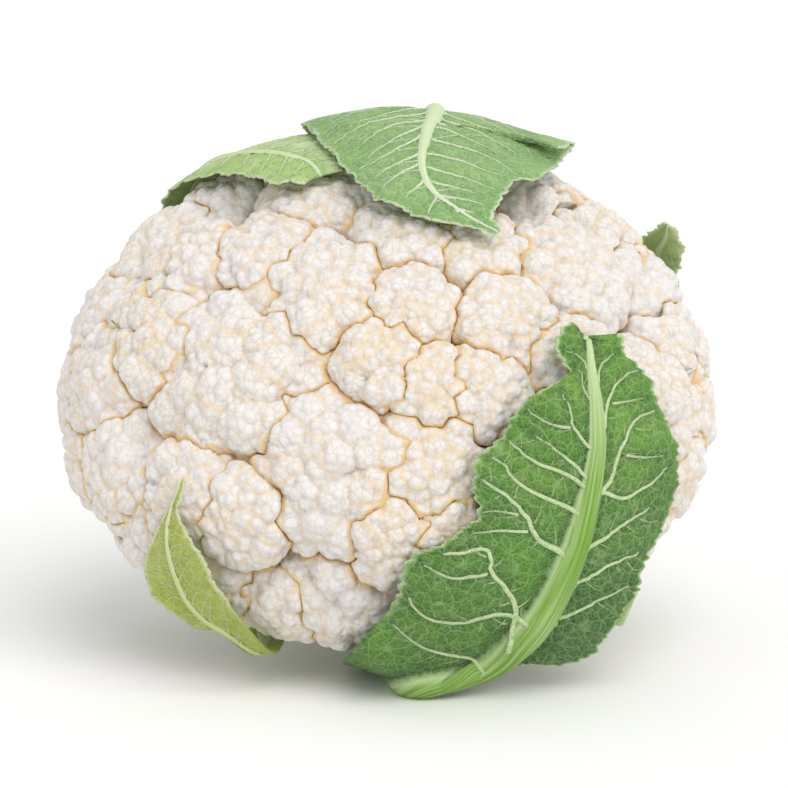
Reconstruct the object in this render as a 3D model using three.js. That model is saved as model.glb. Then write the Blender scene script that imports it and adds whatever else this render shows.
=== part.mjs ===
// A whole cauliflower as sold: a domed curd of florets on a short cut stalk, with a few trimmed
// leaves still round it. It lies tipped forward, resting on the stalk's rim and the leaf ribs.
// Millimetres, +Z up. The origin is on the resting surface, under the middle of the plant.
import * as THREE from "three";
import { mergeVertices } from "three/addons/utils/BufferGeometryUtils.js";

// ---- Driving dimensions -------------------------------------------------------------------------

// The curd's outer envelope: two half ellipsoids that share a rim, on an axis that leans forward.
const HEAD = {
  halfWidth: 90,
  halfDepth: 81,
  topHeight: 64,
  lowHeight: 36,
  lean: THREE.MathUtils.degToRad(38),
  centre: new THREE.Vector3(0, 0, 66),
};

// Florets in front are laid out as an eye in front of the plant sees them.
const EYE = { distance: 800, elevation: THREE.MathUtils.degToRad(10), span: 0.25, steps: 600 };

// The stalk on the same axis: a round fork inside the curd, a neck below it, and the cut trunk.
const STALK = {
  forkDepth: 10,
  forkRadius: 17,
  forkAngles: [25, 50, 75, 100, 120],
  neckRadius: 14,
  trunkDepth: 41,
  radius: 16,
  length: 104,
  sides: 20,
};

// The clearance between neighbouring pieces.
const GAP = 0.3;

const WHITE = { color: 0xefe7da, roughness: 0.75, metalness: 0 };
const STALK_GREEN = { color: 0xcfd8a6, roughness: 0.6, metalness: 0 };
const LEAF_GREEN = { color: 0x6f9f4f, roughness: 0.55, metalness: 0 };

// Each floret in front: millimetres across and up from the curd's centre, then its width.
const FRONT_FLORETS = [
  // upper left
  [-43, 53, 27], [-31, 36, 20], [-49, 32, 22], [-57, 14, 26], [-68, 42, 26], [-80, 22, 26],
  [-70, 3, 23], [-87, 2, 25], [-86, -20, 25],
  // lower left
  [-64, -19, 26], [-50, -25, 20], [-71, -42, 28], [-37, -30, 18], [-43, -47, 21], [-29, -57, 20],
  // middle
  [-12, 47, 28], [-14, 24, 26], [7, 39, 22], [-33, 4, 38], [-12, -18, 30], [12, -18, 23],
  [3, -36, 18], [-10, -53, 28], [17, -34, 16],
  // round the growing tip
  [-1, 9, 17], [7, 23, 17], [23, 37, 20], [11, 3, 16], [25, 1, 18], [30, 18, 20],
  // upper right
  [44, 54, 27], [43, 30, 22], [66, 46, 24], [71, 30, 24], [80, 12, 25], [87, -5, 25],
  // lower right, mostly under the large leaf
  [87, -23, 25], [76, -43, 27], [46, 8, 21], [42, -14, 25], [62, -8, 26], [55, -26, 22],
  [44, -40, 28], [22, -55, 28],
];

// The florets behind: the bearing round the axis from the front, the angle down, and the width.
const BACK_FLORETS = [
  [-166, 58, 34], [165, 56, 34],
  [-124, 94, 32], [-148, 92, 36], [-173, 98, 36], [162, 96, 36], [138, 92, 36], [114, 96, 32],
];

// A floret: its ball's diameter over its visible width, the angles of the dome's rings from the
// top of the dome, and the branch that tapers from it to the fork.
const FLORET = {
  fullness: 1.36,
  ringAngles: [25, 48, 70, 92, 114],
  sides: 12,
  waist: { reach: 1.1, mostOfBranch: 0.75, outOverRadius: 0.33, outOverFoot: 0.5 },
  foot: { least: 2, perWidth: 0.1 },
};

// Each leaf's midrib runs from the stalk to the tip. A station holds the bearing round the axis,
// the angle down from the top of the curd, the height above the curd, and the blade's width to
// the left and to the right of the rib. Where an edge stands at a height of its own, the heights
// of the left and the right edge follow. Angles are in degrees, and lengths in millimetres.
const LEAVES = {
  leaf_front_right: [
    [8, 161, 20, 6, 6], [8, 140, 7, 7, 7], [6, 120, 7, 13, 10, 11, 8], [5, 107, 7, 18, 9, 11, 9],
    [8, 100, 6, 28, 8, 5, 8], [18, 97, 4, 34, 12, 3, 8], [25, 89, 3, 38, 23, 2, 9],
    [30, 81, 3, 35, 27, 2, 8], [35, 74, 3, 31, 25, 2, 4], [40, 69, 3, 31, 27], [46, 62, 3, 28, 27],
    [52, 55, 2.5, 20, 21], [60, 48, 2, 9, 11], [65, 44, 2, 2, 4],
  ],
  leaf_front_left: [
    [-36, 161, 19, 5, 5], [-36, 140, 6, 5, 5], [-36, 118, 3, 6, 9], [-36, 105, 3, 6, 14],
    [-38, 96, 3, 7, 15], [-39, 88, 3, 8, 12], [-41, 80, 2, 6, 8], [-42, 73, 2, 4, 5], [-43, 66, 2, 1, 1],
  ],
  leaf_low_right: [
    [58, 161, 19, 5, 5], [58, 140, 6, 6, 6], [55, 120, 2, 11, 9], [51, 108, 2, 14, 10],
    [48, 100, 2, 10, 7], [47, 95, 2, 2, 2],
  ],
  leaf_back_right: [
    [120, 161, 20, 6, 6], [120, 138, 6, 6, 6], [120, 116, 2.5, 9, 9], [120, 102, 2.5, 18, 16],
    [121, 92, 2.5, 20, 17], [122, 84, 2.5, 17, 16], [125, 76, 3, 10, 10], [128, 70, 3, 2, 2],
  ],
  leaf_top: [
    [178, 161, 20, 7, 7], [178, 140, 7, 8, 8], [178, 120, 3, 11, 11], [178, 102, 3, 20, 20],
    [176, 86, 5, 30, 30, 5, 5], [172, 70, 6, 36, 36, 4, 5], [168, 54, 7, 39, 39, 2.5, 4.5],
    [166, 38, 6, 39, 32, 2.5, 4.5], [162, 24, 5, 34, 18], [148, 13, 4, 28, 9], [98, 14, 3, 16, 4],
    [86, 24, 2, 1, 1],
  ],
  leaf_top_left: [
    [-140, 161, 19, 6, 6], [-140, 138, 6, 6, 6], [-140, 116, 2, 9, 9], [-140, 99, 2, 15, 14],
    [-140, 82, 2, 20, 15], [-140, 66, 2, 21, 14], [-142, 53, 1.5, 20, 12], [-145, 41, 1.5, 18, 11],
    [-147, 31, 1.5, 11, 7], [-146, 26, 1.5, 2, 3],
  ],
  leaf_back_left: [
    [-92, 161, 19, 5, 5], [-92, 140, 6, 6, 6], [-90, 124, 2, 10, 10], [-86, 113, 2, 15, 15],
    [-80, 105, 2, 12, 12], [-76, 100, 2, 3, 3],
  ],
};
const BLADE = { thickness: 1.2, midThickness: 1.5, edgeLift: 0.8, rowsPerStation: 2 };
const RIB = { baseHeight: 7, tipHeight: 1.6, baseHalfWidth: 7, tipHalfWidth: 0.8, mostOfBlade: 0.7 };

// ---- The head's own directions ------------------------------------------------------------------

const ACROSS = new THREE.Vector3(1, 0, 0);
const AXIS = new THREE.Vector3(0, -Math.sin(HEAD.lean), Math.cos(HEAD.lean));
const BEHIND = new THREE.Vector3(0, Math.cos(HEAD.lean), Math.sin(HEAD.lean));

// A point of the plant from its distance across, behind and along the axis.
function fromHead(across, behind, along) {
  return HEAD.centre.clone()
    .addScaledVector(ACROSS, across)
    .addScaledVector(BEHIND, behind)
    .addScaledVector(AXIS, along);
}

// The envelope's height on the side of its rim where a point is.
function heightBeside(along) {
  return along > 0 ? HEAD.topHeight : HEAD.lowHeight;
}

// 1 on the curd's envelope, or on a smaller one at a depth inside it; less inside, more outside.
function reach(point, depth = 0) {
  const offset = point.clone().sub(HEAD.centre);
  const along = offset.dot(AXIS);
  return Math.hypot(
    offset.dot(ACROSS) / (HEAD.halfWidth - depth),
    offset.dot(BEHIND) / (HEAD.halfDepth - depth),
    along / (heightBeside(along) - depth),
  );
}

// The outward normal of the envelope at a point on it.
function outward(point) {
  const offset = point.clone().sub(HEAD.centre);
  const along = offset.dot(AXIS);
  return new THREE.Vector3()
    .addScaledVector(ACROSS, offset.dot(ACROSS) / HEAD.halfWidth ** 2)
    .addScaledVector(BEHIND, offset.dot(BEHIND) / HEAD.halfDepth ** 2)
    .addScaledVector(AXIS, along / heightBeside(along) ** 2)
    .normalize();
}

// Moves a point straight out from the centre, or in, until it is on the envelope at a depth.
function ontoEnvelope(point, depth = 0) {
  const scale = 1 / reach(point, depth);
  return point.clone().sub(HEAD.centre).multiplyScalar(scale).add(HEAD.centre);
}

// The point on the envelope at a bearing and an angle down from the top.
function onBearing(bearing, down, depth = 0) {
  const turn = THREE.MathUtils.degToRad(bearing);
  const fall = THREE.MathUtils.degToRad(down);
  const side = Math.sin(fall);
  return ontoEnvelope(fromHead(side * Math.sin(turn), -side * Math.cos(turn), Math.cos(fall)), depth);
}

// The point on the envelope that the eye sees at a distance across and up from the centre, or
// where its line of sight comes closest to the envelope.
function inSight(across, up, depth) {
  const toEye = new THREE.Vector3(0, -Math.cos(EYE.elevation), Math.sin(EYE.elevation));
  const upward = new THREE.Vector3(0, Math.sin(EYE.elevation), Math.cos(EYE.elevation));
  const eye = HEAD.centre.clone().addScaledVector(toEye, EYE.distance);
  const line = HEAD.centre.clone()
    .addScaledVector(ACROSS, across)
    .addScaledVector(upward, up)
    .sub(eye);
  let nearest = eye;
  for (let step = 0; step <= EYE.steps; step += 1) {
    const point = eye.clone().addScaledVector(line, 1 + EYE.span * (step / EYE.steps - 0.5));
    if (reach(point, depth) < reach(nearest, depth)) nearest = point;
    if (reach(point, depth) <= 1) break;
  }
  return ontoEnvelope(nearest, depth);
}

// ---- Solids -------------------------------------------------------------------------------------

function mesh(name, geometry, { color, roughness, metalness }) {
  const piece = new THREE.Mesh(geometry, new THREE.MeshStandardMaterial({ color, roughness, metalness }));
  piece.name = name;
  return piece;
}

// The stalk: a round fork where the branches meet, a neck and a trunk, cut off level so that the
// plant stands on the cut.
function stalk() {
  const { forkDepth, forkRadius, forkAngles, neckRadius, trunkDepth, radius, length, sides } = STALK;
  const profile = [new THREE.Vector2(0, forkRadius - forkDepth)];
  for (const degrees of forkAngles) {
    const angle = THREE.MathUtils.degToRad(degrees);
    profile.push(new THREE.Vector2(forkRadius * Math.sin(angle), forkRadius * Math.cos(angle) - forkDepth));
  }
  profile.push(new THREE.Vector2(neckRadius, -forkDepth - forkRadius));
  profile.push(new THREE.Vector2(radius, -trunkDepth));
  profile.push(new THREE.Vector2(radius, -length));
  profile.push(new THREE.Vector2(0, -length));
  const lathe = new THREE.LatheGeometry(profile.reverse(), sides);
  const place = new THREE.Matrix4().makeBasis(ACROSS, AXIS, BEHIND.clone().negate());
  lathe.applyMatrix4(place.setPosition(HEAD.centre));
  return mesh("stalk", levelled(welded(lathe)), STALK_GREEN);
}

// Joins the vertices that share a place, so that the surface is closed.
function welded(geometry) {
  geometry.deleteAttribute("normal");
  geometry.deleteAttribute("uv");
  return mergeVertices(geometry, 1e-4);
}

// Presses flat against the resting surface whatever would reach below it.
function levelled(geometry) {
  const place = geometry.getAttribute("position");
  for (let index = 0; index < place.count; index += 1) place.setZ(index, Math.max(place.getZ(index), 0));
  return geometry;
}

function domeRadius(width) {
  return (FLORET.fullness * width) / 2;
}

// A floret's dome is a ball that touches the envelope from inside.
function dome(start, width) {
  const radius = domeRadius(width);
  const centre = start.clone();
  for (let nudge = 0; nudge < 3; nudge += 1) {
    const normal = outward(centre);
    const top = centre.clone().addScaledVector(normal, radius);
    centre.addScaledVector(normal, top.distanceTo(HEAD.centre) * (1 / reach(top) - 1));
  }
  return { centre, radius, width };
}

function domes() {
  const front = FRONT_FLORETS.map(([across, up, width]) => (
    dome(inSight(across, up, domeRadius(width)), width)));
  const back = BACK_FLORETS.map(([bearing, down, width]) => (
    dome(onBearing(bearing, down, domeRadius(width)), width)));
  return [...front, ...back];
}

// How far a floret reaches from its centre in a direction before it meets a neighbour: up to the
// plane through the circle where their two balls cross, less half the gap.
function room(self, family, direction) {
  let least = Infinity;
  for (const other of family) {
    if (other === self) continue;
    const between = other.centre.clone().sub(self.centre);
    const distance = between.length();
    const towards = direction.dot(between) / distance;
    const plane = (distance ** 2 + self.radius ** 2 - other.radius ** 2) / (2 * distance) - GAP / 2;
    if (towards > 0) least = Math.min(least, plane / towards);
  }
  return least;
}

// The longest stretch from a centre in a direction that stays inside the envelope.
function insideEnvelope(centre, direction, length) {
  let low = 0;
  let high = length;
  if (reach(centre.clone().addScaledVector(direction, high)) <= 1) return high;
  for (let halving = 0; halving < 24; halving += 1) {
    const middle = (low + high) / 2;
    if (reach(centre.clone().addScaledVector(direction, middle)) <= 1) low = middle;
    else high = middle;
  }
  return low;
}

// A floret's rings, from the top of the dome down the sides and along the branch: each ring's
// distance from the floret's own axis, and from the ball's centre towards the fork.
function floretRings(self, branchLength) {
  const rings = FLORET.ringAngles.map((degrees) => {
    const angle = THREE.MathUtils.degToRad(degrees);
    return { out: self.radius * Math.sin(angle), inward: -self.radius * Math.cos(angle) };
  });
  const foot = FLORET.foot.least + FLORET.foot.perWidth * self.width;
  const { reach: waistReach, mostOfBranch, outOverRadius, outOverFoot } = FLORET.waist;
  rings.push({
    out: outOverRadius * self.radius + outOverFoot * foot,
    inward: Math.min(waistReach * self.radius, mostOfBranch * branchLength),
  });
  rings.push({ out: foot, inward: branchLength });
  return rings;
}

// One floret: a dome, and a branch that tapers to the fork of the stalk. Every point is kept on
// this floret's side of its neighbours and inside the envelope.
function floret(name, self, family) {
  const branch = fromHead(0, 0, -STALK.forkDepth).sub(self.centre);
  const branchLength = branch.length() - STALK.forkRadius - GAP;
  const inward = branch.normalize();
  const side = new THREE.Vector3().crossVectors(inward, ACROSS).normalize();
  const front = new THREE.Vector3().crossVectors(inward, side);
  const placed = (out, along, turn) => {
    const direction = new THREE.Vector3()
      .addScaledVector(inward, along)
      .addScaledVector(side, out * Math.cos(turn))
      .addScaledVector(front, out * Math.sin(turn));
    const length = direction.length();
    direction.normalize();
    const free = Math.min(length, room(self, family, direction));
    return self.centre.clone().addScaledVector(direction, insideEnvelope(self.centre, direction, free));
  };

  const rings = floretRings(self, branchLength);
  const { sides } = FLORET;
  const points = [placed(0, -self.radius, 0)];
  for (const { out, inward: along } of rings) {
    for (let step = 0; step < sides; step += 1) {
      points.push(placed(out, along, (step * 2 * Math.PI) / sides));
    }
  }
  points.push(placed(0, branchLength, 0));

  const faces = [];
  const last = points.length - 1;
  const at = (ring, step) => 1 + ring * sides + (step % sides);
  for (let step = 0; step < sides; step += 1) {
    faces.push(0, at(0, step), at(0, step + 1));
    for (let ring = 0; ring < rings.length - 1; ring += 1) {
      faces.push(at(ring, step), at(ring + 1, step), at(ring + 1, step + 1));
      faces.push(at(ring, step), at(ring + 1, step + 1), at(ring, step + 1));
    }
    faces.push(at(rings.length - 1, step), last, at(rings.length - 1, step + 1));
  }
  return mesh(name, closed(points, faces), WHITE);
}

// A geometry of these faces, turned inside out if they would face inwards.
function closed(points, faces) {
  const geometry = new THREE.BufferGeometry().setFromPoints(points);
  geometry.setIndex(faces);
  if (sixVolumes(points, faces) < 0) {
    for (let corner = 0; corner < faces.length; corner += 3) {
      [faces[corner], faces[corner + 1]] = [faces[corner + 1], faces[corner]];
    }
    geometry.setIndex(faces);
  }
  return geometry;
}

// Six times the volume inside the faces, negative when they face inwards.
function sixVolumes(points, faces) {
  let six = 0;
  for (let corner = 0; corner < faces.length; corner += 3) {
    const [a, b, c] = [points[faces[corner]], points[faces[corner + 1]], points[faces[corner + 2]]];
    six += a.dot(b.clone().cross(c));
  }
  return six;
}

// ---- Leaves -------------------------------------------------------------------------------------

// A leaf's stations with their edge heights filled in.
function withEdges(stations) {
  return stations.map(([bearing, down, lift, left, right, ...edges]) => {
    const [leftLift, rightLift] = edges.length ? edges : [BLADE.edgeLift * lift, BLADE.edgeLift * lift];
    return { bearing, down, lift, left, right, leftLift, rightLift };
  });
}

// The value of one measure part of the way along a leaf, straight between its stations.
function along(stations, share, measure) {
  const place = share * (stations.length - 1);
  const station = Math.min(Math.floor(place), stations.length - 2);
  return THREE.MathUtils.lerp(stations[station][measure], stations[station + 1][measure], place - station);
}

// The line of a leaf's midrib, on its inner face.
function ribLine(stations) {
  return new THREE.CatmullRomCurve3(stations.map(({ bearing, down, lift }) => {
    const onCurd = onBearing(bearing, down);
    return onCurd.addScaledVector(onCurd.clone().sub(HEAD.centre).normalize(), lift);
  }), false, "centripetal");
}

// The places across a leaf, from its left edge to its right one: the distance from the midrib,
// and the thickness there.
function acrossLeaf(left, right, share) {
  const ripe = Math.sqrt(share);
  const { mostOfBlade, baseHalfWidth, tipHalfWidth, baseHeight, tipHeight } = RIB;
  const narrowest = mostOfBlade * Math.min(left, right);
  const half = Math.min(THREE.MathUtils.lerp(baseHalfWidth, tipHalfWidth, ripe), narrowest);
  const height = THREE.MathUtils.lerp(baseHeight, tipHeight, ripe);
  return [
    [left, BLADE.thickness], [(left + half) / 2, BLADE.midThickness], [half, BLADE.midThickness],
    [half / 2, height], [-half / 2, height],
    [-half, BLADE.midThickness], [-(right + half) / 2, BLADE.midThickness], [-right, BLADE.thickness],
  ];
}

// One leaf: rows across the midrib from the stalk to the tip. Its inner face follows the curd at
// the stations' heights, and its outer face carries the thick midrib.
function leaf(name, table) {
  const stations = withEdges(table);
  const midrib = ribLine(stations);
  const rows = (stations.length - 1) * BLADE.rowsPerStation;
  const inner = [];
  const outer = [];
  for (let row = 0; row <= rows; row += 1) {
    const share = row / rows;
    const at = (measure) => along(stations, share, measure);
    const middle = midrib.getPoint(share);
    const forward = midrib.getTangent(share);
    const away = middle.clone().sub(HEAD.centre).projectOnPlane(forward).normalize();
    const leftward = away.clone().cross(forward);
    for (const [sideways, thickness] of acrossLeaf(at("left"), at("right"), share)) {
      const ray = middle.clone().addScaledVector(leftward, sideways).sub(HEAD.centre).normalize();
      const spread = sideways / (sideways > 0 ? at("left") : at("right"));
      const edge = sideways > 0 ? at("leftLift") : at("rightLift");
      const lift = THREE.MathUtils.lerp(at("lift"), edge, spread ** 2);
      const toCurd = 1 / reach(HEAD.centre.clone().add(ray));
      const point = HEAD.centre.clone().addScaledVector(ray, toCurd + lift);
      inner.push(point);
      outer.push(point.clone().addScaledVector(ray.projectOnPlane(forward).normalize(), thickness));
    }
  }
  return mesh(name, levelled(closed([...inner, ...outer], sheetFaces(rows, inner.length))), LEAF_GREEN);
}

// The faces of a sheet with an inner and an outer grid of points, and a wall round its edge.
function sheetFaces(rows, half) {
  const width = half / (rows + 1);
  const faces = [];
  const quad = (a, b, c, d) => faces.push(a, b, c, a, c, d);
  for (let row = 0; row < rows; row += 1) {
    const left = row * width;
    const right = left + width - 1;
    for (let corner = left; corner < right; corner += 1) {
      quad(corner, corner + 1, corner + width + 1, corner + width);
      quad(half + corner, half + corner + width, half + corner + width + 1, half + corner + 1);
    }
    quad(left, left + width, half + left + width, half + left);
    quad(right, half + right, half + right + width, right + width);
  }
  for (let column = 0; column < width - 1; column += 1) {
    const tip = rows * width + column;
    quad(column, half + column, half + column + 1, column + 1);
    quad(tip, tip + 1, half + tip + 1, half + tip);
  }
  return faces;
}

// ---- The whole plant ----------------------------------------------------------------------------

const cauliflower = new THREE.Group();
cauliflower.add(stalk());
domes().forEach((self, index, family) => {
  cauliflower.add(floret(`floret_${String(index + 1).padStart(2, "0")}`, self, family));
});
for (const [name, stations] of Object.entries(LEAVES)) cauliflower.add(leaf(name, stations));

export default cauliflower;
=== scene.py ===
import math

import bpy
import numpy as np
from mathutils import Matrix


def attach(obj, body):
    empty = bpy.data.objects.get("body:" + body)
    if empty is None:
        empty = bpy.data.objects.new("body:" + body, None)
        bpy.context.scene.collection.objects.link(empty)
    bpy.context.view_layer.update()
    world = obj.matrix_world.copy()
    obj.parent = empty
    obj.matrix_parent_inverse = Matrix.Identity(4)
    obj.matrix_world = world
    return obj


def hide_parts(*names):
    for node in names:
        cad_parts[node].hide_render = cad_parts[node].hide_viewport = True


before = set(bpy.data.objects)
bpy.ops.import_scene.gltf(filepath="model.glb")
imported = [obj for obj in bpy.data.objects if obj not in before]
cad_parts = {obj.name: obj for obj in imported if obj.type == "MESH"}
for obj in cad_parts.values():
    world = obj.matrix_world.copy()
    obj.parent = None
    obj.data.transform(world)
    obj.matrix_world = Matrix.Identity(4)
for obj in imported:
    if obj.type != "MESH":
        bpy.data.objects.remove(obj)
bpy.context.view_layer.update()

# ---- The curd's florets --------------------------------------------------------------------------
# A curd is one crowd of florets: each is a branch that ends in a dome of lobes, and each lobe is a
# cluster of flower buds. The florets grow from one fork and press on each other without joining,
# so creases run between them, and ochre painted shade is laid along them.

MILLIMETRE = 0.001
# The curd's envelope: its centre, its half width, and its half depth and two heights across and
# along an axis that leans forward. The branches meet in a fork a little under the centre.
HEAD_CENTRE = np.array([0.0, 0.0, 66.0])
HALF_WIDTH = 90.0
HALF_DEPTH = 81.0
TOP_HEIGHT = 64.0
LOW_HEIGHT = 36.0
LEAN = math.radians(38)
ACROSS = np.array([1.0, 0.0, 0.0])
AXIS = np.array([0.0, -math.sin(LEAN), math.cos(LEAN)])
BEHIND = np.array([0.0, math.cos(LEAN), math.sin(LEAN)])
FORK = HEAD_CENTRE - 10.0 * AXIS
FORK_RADIUS = 17.0

# The view is from in front and a little above.
EYE_ELEVATION = math.radians(10)
EYE_DISTANCE = 800.0
TO_EYE = np.array([0.0, -math.cos(EYE_ELEVATION), math.sin(EYE_ELEVATION)])
UPWARD = np.array([0.0, math.sin(EYE_ELEVATION), math.cos(EYE_ELEVATION)])
EYE = HEAD_CENTRE + EYE_DISTANCE * TO_EYE

# Millimetres across and up from the curd's centre, as seen from in front, then the width.
FRONT_FLORETS = np.array([
    # upper left
    [-43, 53, 27], [-31, 36, 20], [-49, 32, 22], [-57, 14, 26], [-68, 42, 26], [-80, 22, 26],
    [-70, 3, 23], [-87, 2, 25], [-86, -20, 25],
    # lower left
    [-64, -19, 26], [-50, -25, 20], [-71, -42, 28], [-37, -30, 18], [-43, -47, 21], [-29, -57, 20],
    # middle
    [-12, 47, 28], [-14, 24, 26], [7, 39, 22], [-33, 4, 38], [-12, -18, 30], [12, -18, 23],
    [3, -36, 18], [-10, -53, 28], [17, -34, 16],
    # round the growing tip
    [-1, 9, 17], [7, 23, 17], [23, 37, 20], [11, 3, 16], [25, 1, 18], [30, 18, 20],
    # upper right
    [44, 54, 27], [45, 30, 26], [65, 47, 27], [68, 28, 28], [77, 11, 28], [87, -5, 25],
    # lower right, mostly under the large leaf
    [87, -23, 25], [76, -43, 27], [46, 8, 21], [42, -14, 25], [62, -5, 28], [55, -26, 22],
    [44, -40, 28], [22, -55, 28],
])
# Behind: the bearing round the axis from the front, the angle down from the top, and the width.
BACK_FLORETS = np.array([
    [-166, 58, 34], [165, 56, 34],
    [-124, 94, 32], [-148, 92, 36], [-173, 98, 36], [162, 96, 36], [138, 92, 36], [114, 96, 32],
])
# Each floret's ball is wider than the part of it that shows, and is fitted in a few rounds.
BALL_OVER_WIDTH = 1.36
FITTING_ROUNDS = 3
# Lines of sight are searched between these shares of the way to the centre, in so many steps.
SIGHT_SEARCH = (0.875, 1.125, 601)

# A floret's lobes: the share of the room between its ball and the envelope that they fill, the
# furthest that this room is looked for, the depth of the tallest under the envelope, and how much
# shorter the others are at most. Then how far down they go, their spacing, and their radii.
DOME_FILL = 0.41
WIDEST_OVER_RADIUS = 1.65
TOP_DEPTH = 0.95
LOWEST_LOBE_SHARE = 0.065
LOBE_RIM = math.radians(112)
LOBE_SPACING_SHARE = 0.48
LARGEST_LOBE_SPACING = 12.0
LOBE_RADIUS_SHARE = 0.61
LOBE_UNEVENNESS = (0.82, 1.25)
# A lobe's buds: how far down they go, their spacing, their radii, how deep they are sunk in their
# own lobe, and how deep in any lobe they are left out.
BUD_RIM = math.radians(88)
FEWEST_BUDS = 5
BUD_SPACING = 4.3
BUD_SPACING_UNEVENNESS = (0.75, 1.3)
WIDEST_BUD_SHARE = 0.8
BUD_RADIUS_SHARE = 0.66
BUD_UNEVENNESS = (0.8, 1.25)
BUD_SUNK_SHARE = 0.72
BURIED_SHARE = 1.8
# Balls packed in hexagons each have this share of the square of their spacing.
HEXAGON_SHARE = 0.87
# The crease with a neighbour is found in a few rounds. Each surface crosses it by a little, and
# rounds off to it.
CREASE_ROUNDS = 6
CREASE_OVERLAP = 0.03
SHOULDER = 2.4
SHOULDER_DROP = 0.35
SHOULDER_FADE = 0.4
# A floret's surface stays at least this deep under the envelope, and between its buds it falls no
# deeper than this under their lobe.
CLIP_DEPTH = 0.65
LOBE_FLOOR = 0.7
# A floret's lobes and its buds are each drawn from these seeds plus its number.
LOBE_SEED = 100
BUD_SEED = 900
# The spacing of the corners of the meshes, on the florets in front and on those behind.
FRONT_GRID = 0.57
BACK_GRID = 1.0


def reach(points, depth=0.0):
    """1 on the curd's envelope, less inside it and more outside: the offset from the centre, with
    its three parts each divided by the semi-axis of the half ellipsoid on that side."""
    offset = points - HEAD_CENTRE
    along = offset @ AXIS
    height = np.where(along > 0, TOP_HEIGHT, LOW_HEIGHT) - depth
    across = offset @ ACROSS / (HALF_WIDTH - depth)
    behind = offset @ BEHIND / (HALF_DEPTH - depth)
    return np.sqrt(across ** 2 + behind ** 2 + (along / height) ** 2)


def onto_envelope(points, depth=0.0):
    """Moves points along their lines from the centre until they are on the envelope."""
    return HEAD_CENTRE + (points - HEAD_CENTRE) / reach(points, depth)[..., None]


def unit(vectors):
    """Vectors divided by their own length."""
    return vectors / np.linalg.norm(vectors, axis=-1, keepdims=True)


def outward(points):
    """The envelope's outward normal: each part of the offset over its semi-axis squared."""
    offset = points - HEAD_CENTRE
    along = offset @ AXIS
    height = np.where(along > 0, TOP_HEIGHT, LOW_HEIGHT)
    return unit((offset @ ACROSS / HALF_WIDTH ** 2)[:, None] * ACROSS
                + (offset @ BEHIND / HALF_DEPTH ** 2)[:, None] * BEHIND
                + (along / height ** 2)[:, None] * AXIS)


def in_sight(across, up, depth):
    """The points on the envelope seen at a distance across and up from the centre: the first
    place on each line of sight that is inside, or else the place nearest to the envelope."""
    aim = HEAD_CENTRE + across[:, None] * ACROSS + up[:, None] * UPWARD
    share = np.linspace(*SIGHT_SEARCH)
    line = EYE + share[None, :, None] * (aim - EYE)[:, None, :]
    gauge = reach(line, depth[:, None])
    inside = gauge <= 1
    pick = np.where(inside.any(axis=1), inside.argmax(axis=1), gauge.argmin(axis=1))
    return onto_envelope(line[np.arange(len(across)), pick], depth)


def on_bearing(bearing, down, depth=0.0):
    """The points on the envelope at a bearing round the axis and an angle down from the top."""
    turn = np.radians(bearing)[..., None]
    fall = np.radians(down)[..., None]
    ray = np.sin(fall) * (np.sin(turn) * ACROSS - np.cos(turn) * BEHIND) + np.cos(fall) * AXIS
    return onto_envelope(HEAD_CENTRE + ray, depth)


def floret_balls():
    """Each floret's ball, which touches the envelope from inside: its centre and radius."""
    widths = np.concatenate([FRONT_FLORETS[:, 2], BACK_FLORETS[:, 2]]).astype(float)
    radii = widths * BALL_OVER_WIDTH / 2
    seen = in_sight(FRONT_FLORETS[:, 0], FRONT_FLORETS[:, 1], radii[:len(FRONT_FLORETS)])
    behind = on_bearing(BACK_FLORETS[:, 0], BACK_FLORETS[:, 1], radii[len(FRONT_FLORETS):])
    centres = np.concatenate([seen, behind])
    for _ in range(FITTING_ROUNDS):
        normal = outward(centres)
        top = centres + radii[:, None] * normal
        short = np.linalg.norm(top - HEAD_CENTRE, axis=1) * (1 / reach(top) - 1)
        centres = centres + short[:, None] * normal
    return centres, radii


# Directions are nudged at random by about this share of their spacing.
JITTER = 0.2


def spiral_cap(count, rim, draw):
    """Directions spread over a cap about +Z on a golden-angle spiral: their heights fall in equal
    steps from the top to the rim, and each is nudged at random by part of the spacing."""
    step = np.arange(count) + 0.5
    height = 1 - step / count * (1 - math.cos(rim))
    turn = step * math.pi * (3 - math.sqrt(5)) + draw.uniform(0, 2 * math.pi)
    side = np.sqrt(1 - height ** 2)
    spread = np.stack([side * np.cos(turn), side * np.sin(turn), height], axis=1)
    spacing = math.sqrt(2 * math.pi * (1 - math.cos(rim)) / count)
    return unit(spread + draw.normal(0, JITTER * spacing, spread.shape))


# No piece points this way, so it can start the rows that stand across a direction.
ASKEW = ACROSS + 0.2 * AXIS


def basis_about(direction):
    """Three unit rows: two across a direction, and the direction itself."""
    side = unit(np.cross(direction, ASKEW))
    return np.stack([side, np.cross(direction, side), direction])


# The stretch is halved this often, which finds the place to within a thousandth of a millimetre.
HALVINGS = 18


def inside_envelope(start, rays, furthest):
    """How far rays run from a start before they leave the envelope, by halving the stretch."""
    low = np.zeros(len(rays))
    high = np.full(len(rays), furthest)
    for _ in range(HALVINGS):
        middle = (low + high) / 2
        inside = reach(start + rays * middle[:, None], TOP_DEPTH) <= 1
        low = np.where(inside, middle, low)
        high = np.where(inside, high, middle)
    return low


def balls_on_cap(radius, rim, spacing):
    """How many balls at a spacing fit on a cap of a larger ball: its area over the area of each."""
    return 2 * math.pi * (1 - math.cos(rim)) * radius ** 2 / (HEXAGON_SHARE * spacing ** 2)


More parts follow.
